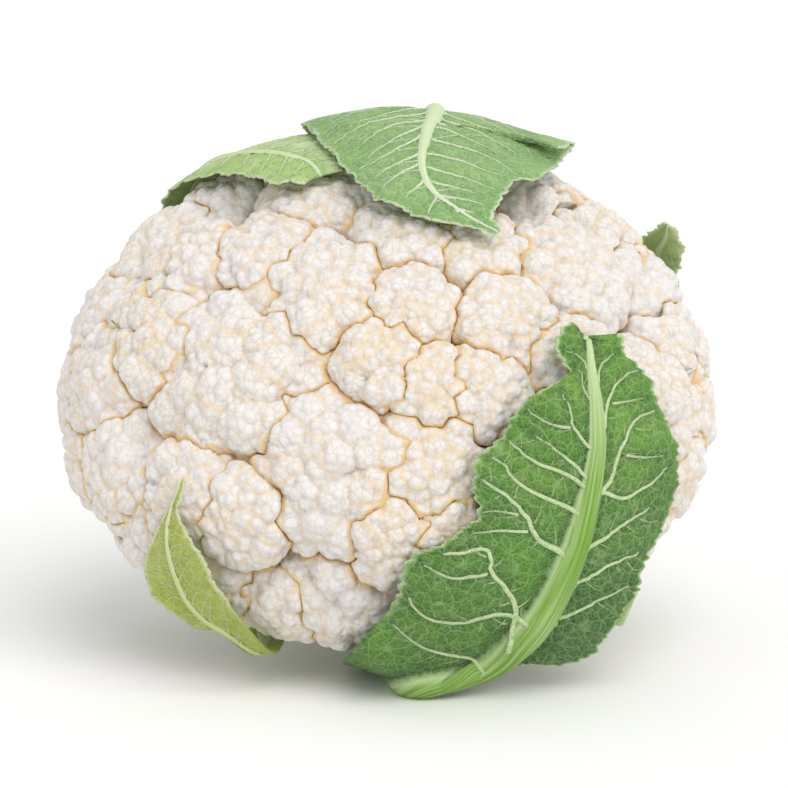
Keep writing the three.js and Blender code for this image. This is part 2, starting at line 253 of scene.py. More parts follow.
def lobes_on(centre, radius, draw):
    """The lobes of a floret's dome: balls of uneven sizes on a jittered spiral, with their tops
    part of the way from the floret's own ball to the envelope. Returns centres and radii."""
    spacing = min(LOBE_SPACING_SHARE * radius, LARGEST_LOBE_SPACING)
    count = round(balls_on_cap(radius, LOBE_RIM, spacing))
    rays = spiral_cap(count, LOBE_RIM, draw) @ basis_about(unit(centre - FORK))
    room = inside_envelope(centre, rays, WIDEST_OVER_RADIUS * radius)
    dome = radius - TOP_DEPTH
    tops = dome + DOME_FILL * (room - dome) - draw.uniform(0, LOWEST_LOBE_SHARE * radius, count)
    sizes = LOBE_RADIUS_SHARE * spacing * tops / dome * draw.uniform(*LOBE_UNEVENNESS, count)
    return centre + rays * (tops - sizes)[:, None], sizes


def buds_on(lobe_centres, lobe_sizes, floret_centre, draw):
    """The buds of each lobe: small balls on a jittered spiral over the lobe's ball, left out where
    they would be buried in another lobe. Returns centres and radii."""
    centres = []
    sizes = []
    for centre, size in zip(lobe_centres, lobe_sizes):
        spacing = min(BUD_SPACING * draw.uniform(*BUD_SPACING_UNEVENNESS), WIDEST_BUD_SHARE * size)
        count = max(FEWEST_BUDS, round(balls_on_cap(size, BUD_RIM, spacing)))
        rays = spiral_cap(count, BUD_RIM, draw) @ basis_about(unit(centre - floret_centre))
        bud = BUD_RADIUS_SHARE * spacing * draw.uniform(*BUD_UNEVENNESS, count)
        centres.append(centre + rays * (size - BUD_SUNK_SHARE * bud)[:, None])
        sizes.append(bud)
    centres = np.concatenate(centres)
    sizes = np.concatenate(sizes)
    apart = np.linalg.norm(centres[:, None] - lobe_centres[None], axis=2) - lobe_sizes[None]
    kept = apart.min(axis=1) > -BURIED_SHARE * sizes
    return centres[kept], sizes[kept]


# The margin given to rays that meet no ball, which is further than any painted crease shade reaches.
CLEAR_OF_CREASES = 9.0


def far_sides(rays, centres, sizes):
    """How far each ray from the origin runs before it leaves the last of the balls, and how much
    sooner it leaves the ball before, which is nothing on the crease between the two."""
    shadow = rays @ centres.T
    room = sizes ** 2 - (centres ** 2).sum(axis=1) + shadow ** 2
    length = np.where(room > 0, shadow + np.sqrt(np.maximum(room, 0)), 0)
    rows = np.arange(len(rays))
    last = length.argmax(axis=1)
    furthest = length[rows, last]
    length[rows, last] = 0
    return furthest, np.where(furthest > 0, furthest - length.max(axis=1), CLEAR_OF_CREASES)


def held_by_neighbours(rays, lengths, own, others):
    """Shortens rays to the side of the crease that is nearer to this floret's own lobes than to
    its neighbours', where nearness to a ball is the squared distance less the squared radius.
    Returns the lengths, and how far their ends are from the crease."""
    own_depth = (own[0] ** 2).sum(axis=1) - own[1] ** 2
    other_depth = (others[0] ** 2).sum(axis=1) - others[1] ** 2
    own_shadow = rays @ own[0].T
    other_shadow = rays @ others[0].T
    rows = np.arange(len(rays))
    for _ in range(CREASE_ROUNDS):
        mine_near = own_depth - 2 * lengths[:, None] * own_shadow
        their_near = other_depth - 2 * lengths[:, None] * other_shadow
        mine = mine_near.argmin(axis=1)
        theirs = their_near.argmin(axis=1)
        rise = other_shadow[rows, theirs] - own_shadow[rows, mine]
        drop = other_depth[theirs] - own_depth[mine]
        crossing = drop / np.where(np.abs(rise) > 1e-6, 2 * rise, 1e-6)
        crossed = (rise > 0) & (crossing < lengths)
        lengths = np.where(crossed, np.maximum(crossing + CREASE_OVERLAP, 1.0), lengths)
    apart = np.linalg.norm(others[0][theirs] - own[0][mine], axis=1)
    margin = (their_near[rows, theirs] - mine_near[rows, mine]) / (2 * apart)
    return lengths, np.maximum(margin, 0)


def shoulder_drop(margin, cut):
    """How much lower the surface is near a crease: the square of the share of the shoulder's width
    that is left to the crease, fading where the crease has cut more away."""
    return SHOULDER_DROP * np.clip(1 - margin / SHOULDER, 0, 1) ** 2 * np.exp(-cut / SHOULDER_FADE)


# A floret's cap ends this far down from its top. Most rows of its grid go where the cap is open to
# view, and the last few into its creases.
CAP_RIM = math.radians(100)
OPEN_ROWS = 0.9
# In each of so many directions, the open part ends where the margin to a crease is this small, and
# is then widened by a small angle.
DIRECTIONS = 48
STEPS_DOWN = 40
IN_CREASE = 0.2
RIM_MARGIN = 0.1


def disc_of(side):
    """A square grid pressed into a disc ring by ring: each corner's ring, 0 to 1, and its turn."""
    a, b = np.meshgrid(np.linspace(-1, 1, side), np.linspace(-1, 1, side), indexing="ij")
    steep = np.abs(a) >= np.abs(b)
    ring = np.where(steep, np.abs(a), np.abs(b))
    minor = np.where(steep, b / np.where(a == 0, 1, a), a / np.where(b == 0, 1, b))
    turn = np.where(steep, minor * math.pi / 4, math.pi / 2 - minor * math.pi / 4)
    return ring.ravel(), (turn + np.where(np.where(steep, a, b) < 0, math.pi, 0)).ravel()


def polar(fall, turn):
    """Directions from their angles down from +Z and their turns round it."""
    fall, turn = np.broadcast_arrays(fall, turn)
    return np.stack([np.sin(fall) * np.cos(turn), np.sin(fall) * np.sin(turn), np.cos(fall)], axis=-1)


def open_rim(frame_rows, own, others):
    """In each of some directions round a floret's axis, the angle down from its top at which the
    crease with its neighbours begins, a little widened and smoothed round the axis."""
    turns = np.arange(DIRECTIONS) * 2 * math.pi / DIRECTIONS
    falls = np.linspace(0, CAP_RIM, STEPS_DOWN)[1:]
    rays = polar(falls[:, None], turns[None]).reshape(-1, 3) @ frame_rows
    lengths = far_sides(rays, *own)[0]
    held = held_by_neighbours(rays, lengths, own, others)[1].reshape(len(falls), -1) < IN_CREASE
    first = np.where(held.any(axis=0), falls[held.argmax(axis=0)], CAP_RIM)
    widest = np.max([np.roll(first, shift) for shift in (-1, 0, 1)], axis=0)
    smooth = np.mean([np.roll(widest, shift) for shift in (-1, 0, 1)], axis=0)
    return turns, np.minimum(smooth + RIM_MARGIN, CAP_RIM - RIM_MARGIN)


def mesh_piece(name, points, faces, values_by_label):
    """A smooth-shaded object of these points, in millimetres, and faces, with named values at
    its points."""
    mesh = bpy.data.meshes.new(name)
    mesh.from_pydata(points * MILLIMETRE, [], faces)
    for label, values in values_by_label.items():
        layer = mesh.attributes.new(label, "FLOAT", "POINT")
        layer.data.foreach_set("value", values.astype(np.float32))
    mesh.shade_smooth()
    piece = bpy.data.objects.new(name, mesh)
    bpy.context.scene.collection.objects.link(piece)
    return piece


# The skirt below the cap: the distance from the floret's axis and the depth below its ball's
# centre, as shares of the radius, from the dome's side to the top of its branch. It goes no
# further down the branch than a share of it, and only its first ring follows the buds.
SKIRT = [(0.95, 0.28), (0.82, 0.5), (0.6, 0.8), (0.46, 1.1)]
LOWEST_SKIRT_SHARE = 0.8
BUDDED_RINGS = 1
# The branch's radius at the fork: a length, and a share of the floret's radius on top.
FOOT_RADIUS = 2.0
FOOT_RADIUS_SHARE = 0.11
# Only florets with less room than this between their balls can press on each other.
PRESSING_GAP = 4.0
# A floret's grid has at least this many corners to a side.
FEWEST_CORNERS = 30
# No ray ends nearer to the floret's centre than this share of its radius.
LEAST_REACH_SHARE = 0.5
# Corners keep these distances only so far, since no colour changes beyond.
FURTHEST_KEPT = {"bud_edge": 3, "lobe_edge": 6, "floret_edge": 6, "depth": 20}


def border_of(side):
    """The indices round the edge of a square grid, in order."""
    low = np.arange(side - 1)
    return np.concatenate([low * side, (side - 1) * side + low,
                           (side - 1 - low) * side + side - 1, side - 1 - low])


def floret_faces(side, rings):
    """The faces of a square grid, of the rings hung from its border, and of the closing fan."""
    row, column = np.meshgrid(np.arange(side - 1), np.arange(side - 1), indexing="ij")
    corner = (row * side + column).ravel()
    grid = np.stack([corner, corner + side, corner + side + 1, corner + 1], axis=1)
    border = border_of(side)
    around = len(border)
    step = np.arange(around)
    loops = [border] + [side * side + ring * around + step for ring in range(rings)]
    bands = [np.stack([upper, np.roll(upper, 1), np.roll(lower, 1), lower], axis=1)
             for upper, lower in zip(loops[:-1], loops[1:])]
    foot = np.full(around, side * side + rings * around)
    fan = np.stack([loops[-1], np.roll(loops[-1], 1), foot], axis=1)
    return np.concatenate([grid, *bands]).tolist() + fan.tolist()


def floret_rays(radius, branch, turns, rim, spacing):
    """Directions from a floret's centre with its axis upward: a grid over the cap, most of it where
    the cap is open to view, then the rings of the skirt and the foot. Returns them, how far each
    one has to run at most, and the faces between their ends."""
    side = max(FEWEST_CORNERS, round(2 * radius * rim.mean() / OPEN_ROWS / spacing))
    ring, turn = disc_of(side)
    opened = np.interp(turn, turns, rim, period=2 * math.pi)
    reached = np.interp(ring, [0, OPEN_ROWS, 1], [0, 1, 2])
    fall = np.where(reached < 1, reached * opened, opened + (reached - 1) * (CAP_RIM - opened))
    cap = polar(fall, turn)
    around = unit(cap[border_of(side)] * np.array([1, 1, 0]))
    profile = [(out * radius, min(down * radius, LOWEST_SKIRT_SHARE * branch)) for out, down in SKIRT]
    profile.append((FOOT_RADIUS + FOOT_RADIUS_SHARE * radius, branch))
    skirt = np.concatenate([out * around - down * np.array([0, 0, 1]) for out, down in profile])
    directions = np.concatenate([cap, unit(skirt), [[0, 0, -1.0]]])
    wanted = np.concatenate([np.full(len(cap), np.inf), np.linalg.norm(skirt, axis=1), [branch]])
    wanted[len(cap):len(cap) + BUDDED_RINGS * len(around)] = np.inf
    return directions, wanted, floret_faces(side, len(profile))


def floret(name, index, balls, lobes):
    """A floret: over the cap and the sides of its ball, the far side of all its buds along each
    ray from the ball's centre; below, a branch that tapers to the fork. Creases with neighbours
    are where both florets' lobes are equally near."""
    centre, radius = balls[0][index], balls[1][index]
    draw = np.random.default_rng(BUD_SEED + index)
    axis = unit(centre - FORK)
    frame_rows = basis_about(axis)
    near = [other for other in range(len(balls[1])) if other != index
            and np.linalg.norm(balls[0][other] - centre) < balls[1][other] + radius + PRESSING_GAP]
    own = (lobes[index][0] - centre, lobes[index][1])
    others = (np.concatenate([lobes[other][0] for other in near]) - centre,
              np.concatenate([lobes[other][1] for other in near]))
    buds = buds_on(*lobes[index], centre, draw)
    spacing = FRONT_GRID if index < len(FRONT_FLORETS) else BACK_GRID
    turns, rim = open_rim(frame_rows, own, others)
    branch = np.linalg.norm(centre - FORK) - FORK_RADIUS
    directions, wanted, faces = floret_rays(radius, branch, turns, rim, spacing)
    rays = directions @ frame_rows
    budded, bud_edge = far_sides(rays, buds[0] - centre, buds[1])
    lobed, lobe_edge = far_sides(rays, *own)
    lowest = np.maximum(lobed - LOBE_FLOOR, LEAST_REACH_SHARE * radius)
    free = np.minimum(np.maximum(budded, lowest), wanted)
    held, floret_edge = held_by_neighbours(rays, free, own, others)
    lengths = held - shoulder_drop(floret_edge, free - held)
    points = centre + rays * lengths[:, None]
    gauge = reach(points, CLIP_DEPTH)[:, None]
    points = HEAD_CENTRE + (points - HEAD_CENTRE) / np.maximum(gauge, 1)
    depth = (1 - np.minimum(gauge[:, 0], 1)) * np.linalg.norm(points - HEAD_CENTRE, axis=1)
    down_branch = -((points - centre) @ axis) / branch
    distances = {"bud_edge": bud_edge, "lobe_edge": lobe_edge, "floret_edge": floret_edge, "depth": depth}
    values = {label: np.clip(distance, 0, FURTHEST_KEPT[label]) for label, distance in distances.items()}
    # From 0 at three eighths of the branch to 1 at its foot.
    values["stem"] = np.clip(1.6 * down_branch - 0.6, 0, 1)
    return mesh_piece(name, points, faces, values)


def value_map(tree, source, low, high, to_low=0.0, to_high=1.0):
    """A node that maps a value from one range to another, held at its ends."""
    node = tree.nodes.new("ShaderNodeMapRange")
    node.inputs["From Min"].default_value = low
    node.inputs["From Max"].default_value = high
    node.inputs["To Min"].default_value = to_low
    node.inputs["To Max"].default_value = to_high
    tree.links.new(source, node.inputs["Value"])
    return node.outputs["Result"]


def mixed(tree, share, first, second):
    """A colour node between two colours, each a tuple or a socket."""
    node = tree.nodes.new("ShaderNodeMix")
    node.data_type = "RGBA"
    tree.links.new(share, node.inputs["Factor"])
    for socket, colour in ((node.inputs[6], first), (node.inputs[7], second)):
        if isinstance(colour, tuple):
            socket.default_value = (*colour, 1)
        else:
            tree.links.new(colour, socket)
    return node.outputs[2]


def product(tree, first, second):
    """The product of two values."""
    node = tree.nodes.new("ShaderNodeMath")
    node.operation = "MULTIPLY"
    tree.links.new(first, node.inputs[0])
    tree.links.new(second, node.inputs[1])
    return node.outputs["Value"]


def attribute(tree, label):
    """The values of one of a piece's own attributes."""
    node = tree.nodes.new("ShaderNodeAttribute")
    node.attribute_name = label
    return node.outputs["Fac"]


def new_material(name):
    """A material, its node tree, its shader, and the places on the piece."""
    material = bpy.data.materials.new(name)
    material.use_nodes = True
    tree = material.node_tree
    place = tree.nodes.new("ShaderNodeTexCoord").outputs["Object"]
    return material, tree, tree.nodes["Principled BSDF"], place


def noise(tree, place, scale, detail):
    """A smooth noise from 0 to 1, with features about one over its scale across."""
    node = tree.nodes.new("ShaderNodeTexNoise")
    node.inputs["Scale"].default_value = scale
    node.inputs["Detail"].default_value = detail
    tree.links.new(place, node.inputs["Vector"])
    return node.outputs["Fac"]


def wandering(tree, place, scale, shift):
    """Places moved by up to a shift in metres by a noise, so that lines through them wind."""
    wobble = tree.nodes.new("ShaderNodeTexNoise")
    wobble.inputs["Scale"].default_value = scale
    tree.links.new(place, wobble.inputs["Vector"])
    wander = tree.nodes.new("ShaderNodeVectorMath")
    wander.operation = "MULTIPLY_ADD"
    wander.inputs[1].default_value = (shift, shift, shift)
    tree.links.new(wobble.outputs["Color"], wander.inputs[0])
    tree.links.new(place, wander.inputs[2])
    return wander.outputs["Vector"]


def cells(tree, place, feature, scale):
    """A texture of uneven cells: the distance from the middle of each or to its edge."""
    node = tree.nodes.new("ShaderNodeTexVoronoi")
    node.feature = feature
    node.inputs["Scale"].default_value = scale
    tree.links.new(place, node.inputs["Vector"])
    return node.outputs["Distance"]


def bumped(tree, height, strength, distance, normal=None):
    """A normal tilted by a height in metres, on top of another normal if there is one."""
    bump = tree.nodes.new("ShaderNodeBump")
    bump.inputs["Strength"].default_value = strength
    bump.inputs["Distance"].default_value = distance
    tree.links.new(height, bump.inputs["Height"])
    if normal:
        tree.links.new(normal, bump.inputs["Normal"])
    return bump.outputs["Normal"]


def surface(shader, roughness, gloss, light_through, reach_by_colour, depth):
    """Sets how rough and how glossy a surface is, what share of the light goes through it, and
    how far each colour of that goes, in metres."""
    shader.inputs["Roughness"].default_value = roughness
    shader.inputs["Specular IOR Level"].default_value = gloss
    shader.inputs["Subsurface Weight"].default_value = light_through
    shader.inputs["Subsurface Radius"].default_value = reach_by_colour
    shader.inputs["Subsurface Scale"].default_value = depth


COOL_WHITE = (0.79, 0.772, 0.775)
WARM_WHITE = (0.795, 0.772, 0.752)
# Painted shade: tan in the gaps between the buds, ochre in the creases between the lobes and the florets,
# and brown where the curd is deepest.
FINE_GAP_PAINTED_SHADE = (0.66, 0.5, 0.31)
BUD_GAP_PAINTED_SHADE = (0.68, 0.52, 0.36)
LOBE_CREASE_PAINTED_SHADE = (0.77, 0.57, 0.3)
FLORET_CREASE_PAINTED_SHADE = (0.78, 0.55, 0.26)
DEEPEST_PAINTED_SHADE = (0.5, 0.36, 0.15)
BRANCH_GREEN = (0.66, 0.7, 0.42)
# How many patches of tone, fine buds and grains there are to a metre.
PATCHES = 45
FINE_BUDS = 400
GRAINS = 850


def curd_white():
    """Matte warm white, cobbled with fine buds and finer grains, with painted shade in tan lines
    between the buds, in ochre lines between the lobes and the florets and in brown where it is
    deepest, and green branches."""
    material, tree, shader, place = new_material("curd_white")
    patchy = noise(tree, place, PATCHES, detail=2)
    winding = wandering(tree, place, scale=300, shift=0.0012)
    bud_middle = cells(tree, winding, "F1", FINE_BUDS)
    bud_border = cells(tree, winding, "DISTANCE_TO_EDGE", FINE_BUDS)
    grain = cells(tree, winding, "F1", GRAINS)

    tone = value_map(tree, patchy, 0.38, 0.66)
    colour = mixed(tree, tone, COOL_WHITE, WARM_WHITE)
    # Painted shade in the gaps between the fine buds and between the buds.
    fine_gap_shade = value_map(tree, bud_border, 0.12, 0.0, 0, 0.5)
    uneven = value_map(tree, patchy, 0.35, 0.6, 0.5, 0.9)
    colour = mixed(tree, product(tree, fine_gap_shade, uneven), colour, FINE_GAP_PAINTED_SHADE)
    bud_gap_shade = value_map(tree, attribute(tree, "bud_edge"), 0.8, 0.0, 0, 0.1)
    colour = mixed(tree, bud_gap_shade, colour, BUD_GAP_PAINTED_SHADE)
    # Painted shade in the creases between the lobes and between the florets.
    lobe_crease_shade = value_map(tree, attribute(tree, "lobe_edge"), 1.1, 0.1)
    uneven = value_map(tree, patchy, 0.35, 0.65, 0.3, 0.5)
    colour = mixed(tree, product(tree, lobe_crease_shade, uneven), colour, LOBE_CREASE_PAINTED_SHADE)
    floret_crease_shade = value_map(tree, attribute(tree, "floret_edge"), 0.7, 0.05)
    uneven = value_map(tree, patchy, 0.35, 0.6, 0.6, 0.9)
    colour = mixed(tree, product(tree, floret_crease_shade, uneven), colour, FLORET_CREASE_PAINTED_SHADE)
    # Painted shade, browner where the curd is deepest.
    deep = value_map(tree, attribute(tree, "depth"), 10, 16, 0, 0.6)
    colour = mixed(tree, deep, colour, DEEPEST_PAINTED_SHADE)
    colour = mixed(tree, attribute(tree, "stem"), colour, BRANCH_GREEN)
    tree.links.new(colour, shader.inputs["Base Color"])

    buds = value_map(tree, bud_middle, 0, 1, 1, 0)
    cobbled = bumped(tree, buds, strength=0.8, distance=0.0008)
    grains = value_map(tree, grain, 0, 1, 1, 0)
    grained = bumped(tree, grains, strength=0.4, distance=0.0004, normal=cobbled)
    tree.links.new(grained, shader.inputs["Normal"])
    surface(shader, roughness=0.62, gloss=0.3, light_through=0.45,
            reach_by_colour=(1.0, 0.8, 0.55), depth=0.0014)
    return material


balls = floret_balls()
lobes = [lobes_on(centre, radius, np.random.default_rng(LOBE_SEED + index))
         for index, (centre, radius) in enumerate(zip(*balls))]
curd = curd_white()
for index in range(len(balls[1])):
    label = f"floret_{index + 1:02d}"
    piece = floret(label + "_buds", index, balls, lobes)
    piece.data.materials.append(curd)
    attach(piece, "root")
    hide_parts(label)

# ---- The stalk -----------------------------------------------------------------------------------
# The short trunk that the branches grow from, ribbed by the bases of its leaves and marked with
# the scars of those trimmed off. A knife cut it level, so the plant stands on the cut.

# The corners round the stalk, the rows down its profile, and the rows from there to the cut.
STALK_SIDES = 72
STALK_ROWS = 70
ROWS_TO_CUT = 20
NECK_RADIUS = 14.0
TRUNK_RADIUS = 16.0
# Distances below the curd's centre along the axis, and the stalk's radius there.
STALK_PROFILE = np.array([
    [-7, 0.0], [-6, 5.6], [-3, 11.0], [3, 15.5], [10, 17.0], [18, 16.0], [27, NECK_RADIUS],
    [34, 14.6], [41, TRUNK_RADIUS], [56, TRUNK_RADIUS], [64, 15.8],
])
# Leaf scars: the turn round the axis in degrees, and the distance below the curd's centre.
LEAF_SCARS = np.array([[20, 45], [157, 52], [294, 47], [71, 58], [208, 63], [345, 60], [122, 40]])
# How deep a scar is pressed in, its half height and half width, and the bend of its crescent.
SCAR_DEPTH = 1.3
SCAR_HALF_HEIGHT = 1.1
SCAR_HALF_WIDTH = 6.5
SCAR_BEND = 0.05
# Shallow ribs: their height, how many go round, and their turn in radians for a millimetre down.
RIBS = ((0.35, 7, 0.06), (0.15, 19, -0.3))
# The ribs and scars begin this far below the curd's centre, and are full this much further down.
RIBBED_FROM = 24
RIBBED_OVER = 20
# The cut's rings: the share of the way out to the rim, and the height. A bevel lifts the rim, a
# groove runs inside it, and the pith is hollow.
CUT_RINGS = ((0.975, 0), (0.9, 0), (0.86, 0.25), (0.82, 0), (0.6, 0.1), (0.3, 0.5), (0.06, 0.6))
BEVEL = 0.6
# Everything beyond the profile counts as this far down.
LOWEST_DEPTH = 70.0


def stalk_piece(name):
    """A profile turned about the axis, pressed in by crescent scars and out by shallow ribs, and
    carried on along the axis to the level cut. The cut face has a bevel, a groove and a pith."""
    turns = np.linspace(0, 2 * math.pi, STALK_SIDES, endpoint=False)
    depths = np.linspace(STALK_PROFILE[0, 0], STALK_PROFILE[-1, 0], STALK_ROWS)
    radius = np.interp(depths, *STALK_PROFILE.T)[:, None] * np.ones((1, STALK_SIDES))
    grown = np.clip((depths[:, None] - RIBBED_FROM) / RIBBED_OVER, 0, 1)
    radius = radius + grown * sum(height * np.cos(count * turns + twist * depths[:, None])
                                  for height, count, twist in RIBS)
    for degrees, depth in LEAF_SCARS:
        away = np.angle(np.exp(1j * (turns[None] - math.radians(degrees)))) * TRUNK_RADIUS
        low = depths[:, None] - depth - SCAR_BEND * away ** 2
        pressed = np.exp(-(low / SCAR_HALF_HEIGHT) ** 2 - (away / SCAR_HALF_WIDTH) ** 4)
        radius = radius - grown * SCAR_DEPTH * pressed
    side = np.cos(turns)[:, None] * ACROSS + np.sin(turns)[:, None] * BEHIND
    body = HEAD_CENTRE - depths[:, None, None] * AXIS + radius[..., None] * side[None]
    lean = side @ np.array([0, 0, 1.0]) * radius[-1]
    last = (HEAD_CENTRE[2] + lean) / AXIS[2]
    ahead = np.linspace(0, 1, ROWS_TO_CUT)[1:, None, None]
    run = HEAD_CENTRE - (depths[-1] + (last - depths[-1])[None, :, None] * ahead) * AXIS
    run = run + radius[-1][None, :, None] * side[None]
    rim = run[-1]
    middle = rim.mean(axis=0)
    face = [middle + share * (rim - middle) + np.array([0, 0, height]) for share, height in CUT_RINGS]
    run[-1, :, 2] = BEVEL
    rings = np.concatenate([body, run, np.array(face)])
    rings[..., 2] = np.maximum(rings[..., 2], 0)
    ring = np.arange(len(rings) - 1)[:, None] * STALK_SIDES
    step = np.arange(STALK_SIDES)[None]
    after = (step + 1) % STALK_SIDES
    below = ring + STALK_SIDES
    faces = np.stack([ring + step, below + step, below + after, ring + after], axis=2)
    last_ring = (len(rings) - 1) * STALK_SIDES + np.arange(STALK_SIDES)
    faces = faces.reshape(-1, 4).tolist() + [last_ring[::-1].tolist()]
    cut = np.concatenate([np.zeros(len(body) + len(run) - 1), np.ones(len(face) + 1)])
    out = np.concatenate([np.ones(len(body) + len(run)), [share for share, _ in CUT_RINGS]])
    down = np.concatenate([depths, np.full(len(run) + len(face), LOWEST_DEPTH)]) / LOWEST_DEPTH
    values = {label: np.repeat(ring_values, STALK_SIDES)
              for label, ring_values in (("cut", cut), ("out", out), ("down", down))}
    return mesh_piece(name, rings.reshape(-1, 3), faces, values)


NECK_GREEN = (0.68, 0.72, 0.46)
TRUNK_GREEN = (0.47, 0.6, 0.27)
FLECK_GREEN = (0.72, 0.74, 0.52)
CUT_CREAM = (0.8, 0.76, 0.58)
DRIED_BROWN = (0.5, 0.36, 0.18)
FIBRE_TAN = (0.66, 0.55, 0.34)
FIBRES = 260


def stalk_skin():
    """Pale waxy green, greener and flecked further down, and on the cut a cream face that has
    dried brown at its rim and round its woody ring."""
    material, tree, shader, place = new_material("stalk_skin")
    fibres = noise(tree, place, FIBRES, detail=4)
    down = value_map(tree, attribute(tree, "down"), 0.3, 0.8)
    colour = mixed(tree, down, NECK_GREEN, TRUNK_GREEN)
    flecks = value_map(tree, fibres, 0.45, 0.75, 0, 0.35)
    colour = mixed(tree, flecks, colour, FLECK_GREEN)
    dried = value_map(tree, attribute(tree, "out"), 0.75, 1.0)
    face = mixed(tree, dried, CUT_CREAM, DRIED_BROWN)
    woody = value_map(tree, fibres, 0.5, 0.7, 0, 0.4)
    face = mixed(tree, woody, face, FIBRE_TAN)
    colour = mixed(tree, attribute(tree, "cut"), colour, face)
    tree.links.new(colour, shader.inputs["Base Color"])
    fibrous = bumped(tree, fibres, strength=0.4, distance=0.0004)
    tree.links.new(fibrous, shader.inputs["Normal"])
    surface(shader, roughness=0.55, gloss=0.5, light_through=0.15,
            reach_by_colour=(1.0, 0.9, 0.5), depth=0.001)
    return material


trunk = stalk_piece("cut_trunk")
trunk.data.materials.append(stalk_skin())
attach(trunk, "root")
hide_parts("stalk")

# ---- The leaves ----------------------------------------------------------------------------------
# Trimmed wrapper leaves, folded up against the curd. Each grows from the stalk on a thick pale rib
# that thins towards the tip, with raised side veins, and its cut edge is toothed and crinkled.

# The blade's thickness between its veins, the least height over the ground at which a leaf is
# placed by sight, and the least height of its corners over the curd's envelope.
THINNEST_BLADE = 0.55
LOWEST_LEAF = 0.9
LEAST_LIFT = 0.4
# The teeth and the crinkles grow to their full size over this length.
RIPENING = 15
# The corners of a row crowd towards the rib by this power of the way out.
CROWDING = 1.25
# How far from a vein the blade is fully swollen, and how far from one its painted shade reaches.
SWELL_REACH = 3.5
VALLEY_SHADE_REACH = 1.8
# The swelling rises as this power of the way from the vein, and over this length from the rib.
SWELL_POWER = 0.7
SWELL_FROM_RIB = 5
# The width of the painted highlight along the edge, and how dark a valley's painted shade is by its
# distance from the rib.
EDGE_HIGHLIGHT_WIDTH = 0.8
VALLEY_SHADE_FROM_RIB = 0.7
# The rib is no wider than a share of the leaf, and stands out from both faces by shares of its
# half width.
WIDEST_RIB_SHARE = 0.8
LEAST_WIDTH = 0.3
RIB_HEIGHT_SHARE = 0.85
RIB_BACK_SHARE = 0.2
# Grown veins start this far before the first teeth.
VEINS_BEFORE_TEETH = 6
# Lines of sight to the leaves are searched between these shares, in so many steps.
LEAF_SIGHT_SEARCH = (0.86, 1.12, 1400)


def lifted(points, lift):
    """Points moved along their lines from the centre to a height above the envelope."""
    ray = unit(points - HEAD_CENTRE)
    return HEAD_CENTRE + ray * (1 / reach(HEAD_CENTRE + ray) + lift)[..., None]


def lift_of(points):
    """How high points are above the envelope along their lines from the centre."""
    offset = np.linalg.norm(points - HEAD_CENTRE, axis=-1)
    return offset * (1 - 1 / reach(points))


def seen_at(places):
    """The points at a height above the curd that are seen at a distance across and up from its
    centre, or the nearest to that height on their line of sight above the ground. Places are
    across, up, height."""
    across, up, lift = np.array(places, float).T
    aim = HEAD_CENTRE + across[:, None] * ACROSS + up[:, None] * UPWARD
    share = np.linspace(*LEAF_SIGHT_SEARCH)
    line = EYE + share[None, :, None] * (aim - EYE)[:, None, :]
    height = np.where(line[..., 2] > LOWEST_LEAF, lift_of(line), np.inf)
    low = height <= lift[:, None]
    pick = np.where(low.any(axis=1), low.argmax(axis=1), height.argmin(axis=1))
    return line[np.arange(len(across)), pick]


def on_stations(stations):
    """The rib, the left edge and the right edge of a leaf's rows, from their bearings, their
    angles down, their heights, and the widths and heights of their two edges."""
    bearing, down, lift, left, right, left_lift, right_lift = np.array(stations, float).T
    rib = lifted(on_bearing(bearing, down), lift)
    forward = unit(np.gradient(rib, axis=0))
    away = rib - HEAD_CENTRE
    away = unit(away - (away * forward).sum(axis=1, keepdims=True) * forward)
    leftward = np.cross(away, forward)
    return (rib, lifted(rib + left[:, None] * leftward, left_lift),
            lifted(rib - right[:, None] * leftward, right_lift))


def through(points, knots, places):
    """A smooth curve through points at their knots: a cubic in each span whose slopes at its ends
    are the mean slopes there."""
    slope = np.gradient(points, knots, axis=0)
    span = np.clip(np.searchsorted(knots, places) - 1, 0, len(knots) - 2)
    width = (knots[span + 1] - knots[span])[:, None]
    share = (places - knots[span])[:, None] / width
    return ((1 + 2 * share) * (1 - share) ** 2 * points[span]
            + share * (1 - share) ** 2 * width * slope[span]
            + share ** 2 * (3 - 2 * share) * points[span + 1]
            + share ** 2 * (share - 1) * width * slope[span + 1])


def as_seen(points):
    """The distances across and up from the curd's centre at which points are seen."""
    ray = points - EYE
    scale = EYE_DISTANCE / -(ray @ TO_EYE)
    return (ray @ ACROSS) * scale, (ray @ UPWARD) * scale


# The three lengths of a wave are drawn between these shares of its own.
WAVE_LENGTHS = (0.7, 1.4)


def wave(places, length, draw):
    """A smooth random wave of about this length: the mean of three sines of uneven lengths."""
    total = 0
    for _ in range(3):
        total = total + np.sin(2 * math.pi * places / (length * draw.uniform(*WAVE_LENGTHS))
                               + draw.uniform(0, 2 * math.pi))
    return total / 3


# The unevenness of the teeth's heights, how far along each one peaks, and how far they wander
# from even places, and over how many of them.
TOOTH_SIZES = (0.3, 1)
TOOTH_PEAK = 0.65
TOOTH_WANDER = 0.5
TEETH_TO_WANDER = 3.1


def teeth(places, length, draw):
    """A row of uneven pointed teeth of about this length, from 0 between them to at most 1."""
    bent = places + TOOTH_WANDER * length * wave(places, TEETH_TO_WANDER * length, draw)
    tooth = np.floor(bent / length).astype(int)
    sizes = draw.uniform(*TOOTH_SIZES, tooth.max() - tooth.min() + 1)
    rise = bent / length - tooth
    return sizes[tooth - tooth.min()] * np.minimum(rise / TOOTH_PEAK, (1 - rise) / (1 - TOOTH_PEAK))


def path_length(points):
    """The distance along a line of points, at each of them."""
    return np.concatenate([[0], np.cumsum(np.linalg.norm(np.diff(points, axis=0), axis=1))])


# A notch goes no further in, and a tooth no further out, than these shares of the leaf's width.
DEEPEST_NOTCH = 0.3
TALLEST_TOOTH = 0.5
TEETH_TO_NOTCH = 5


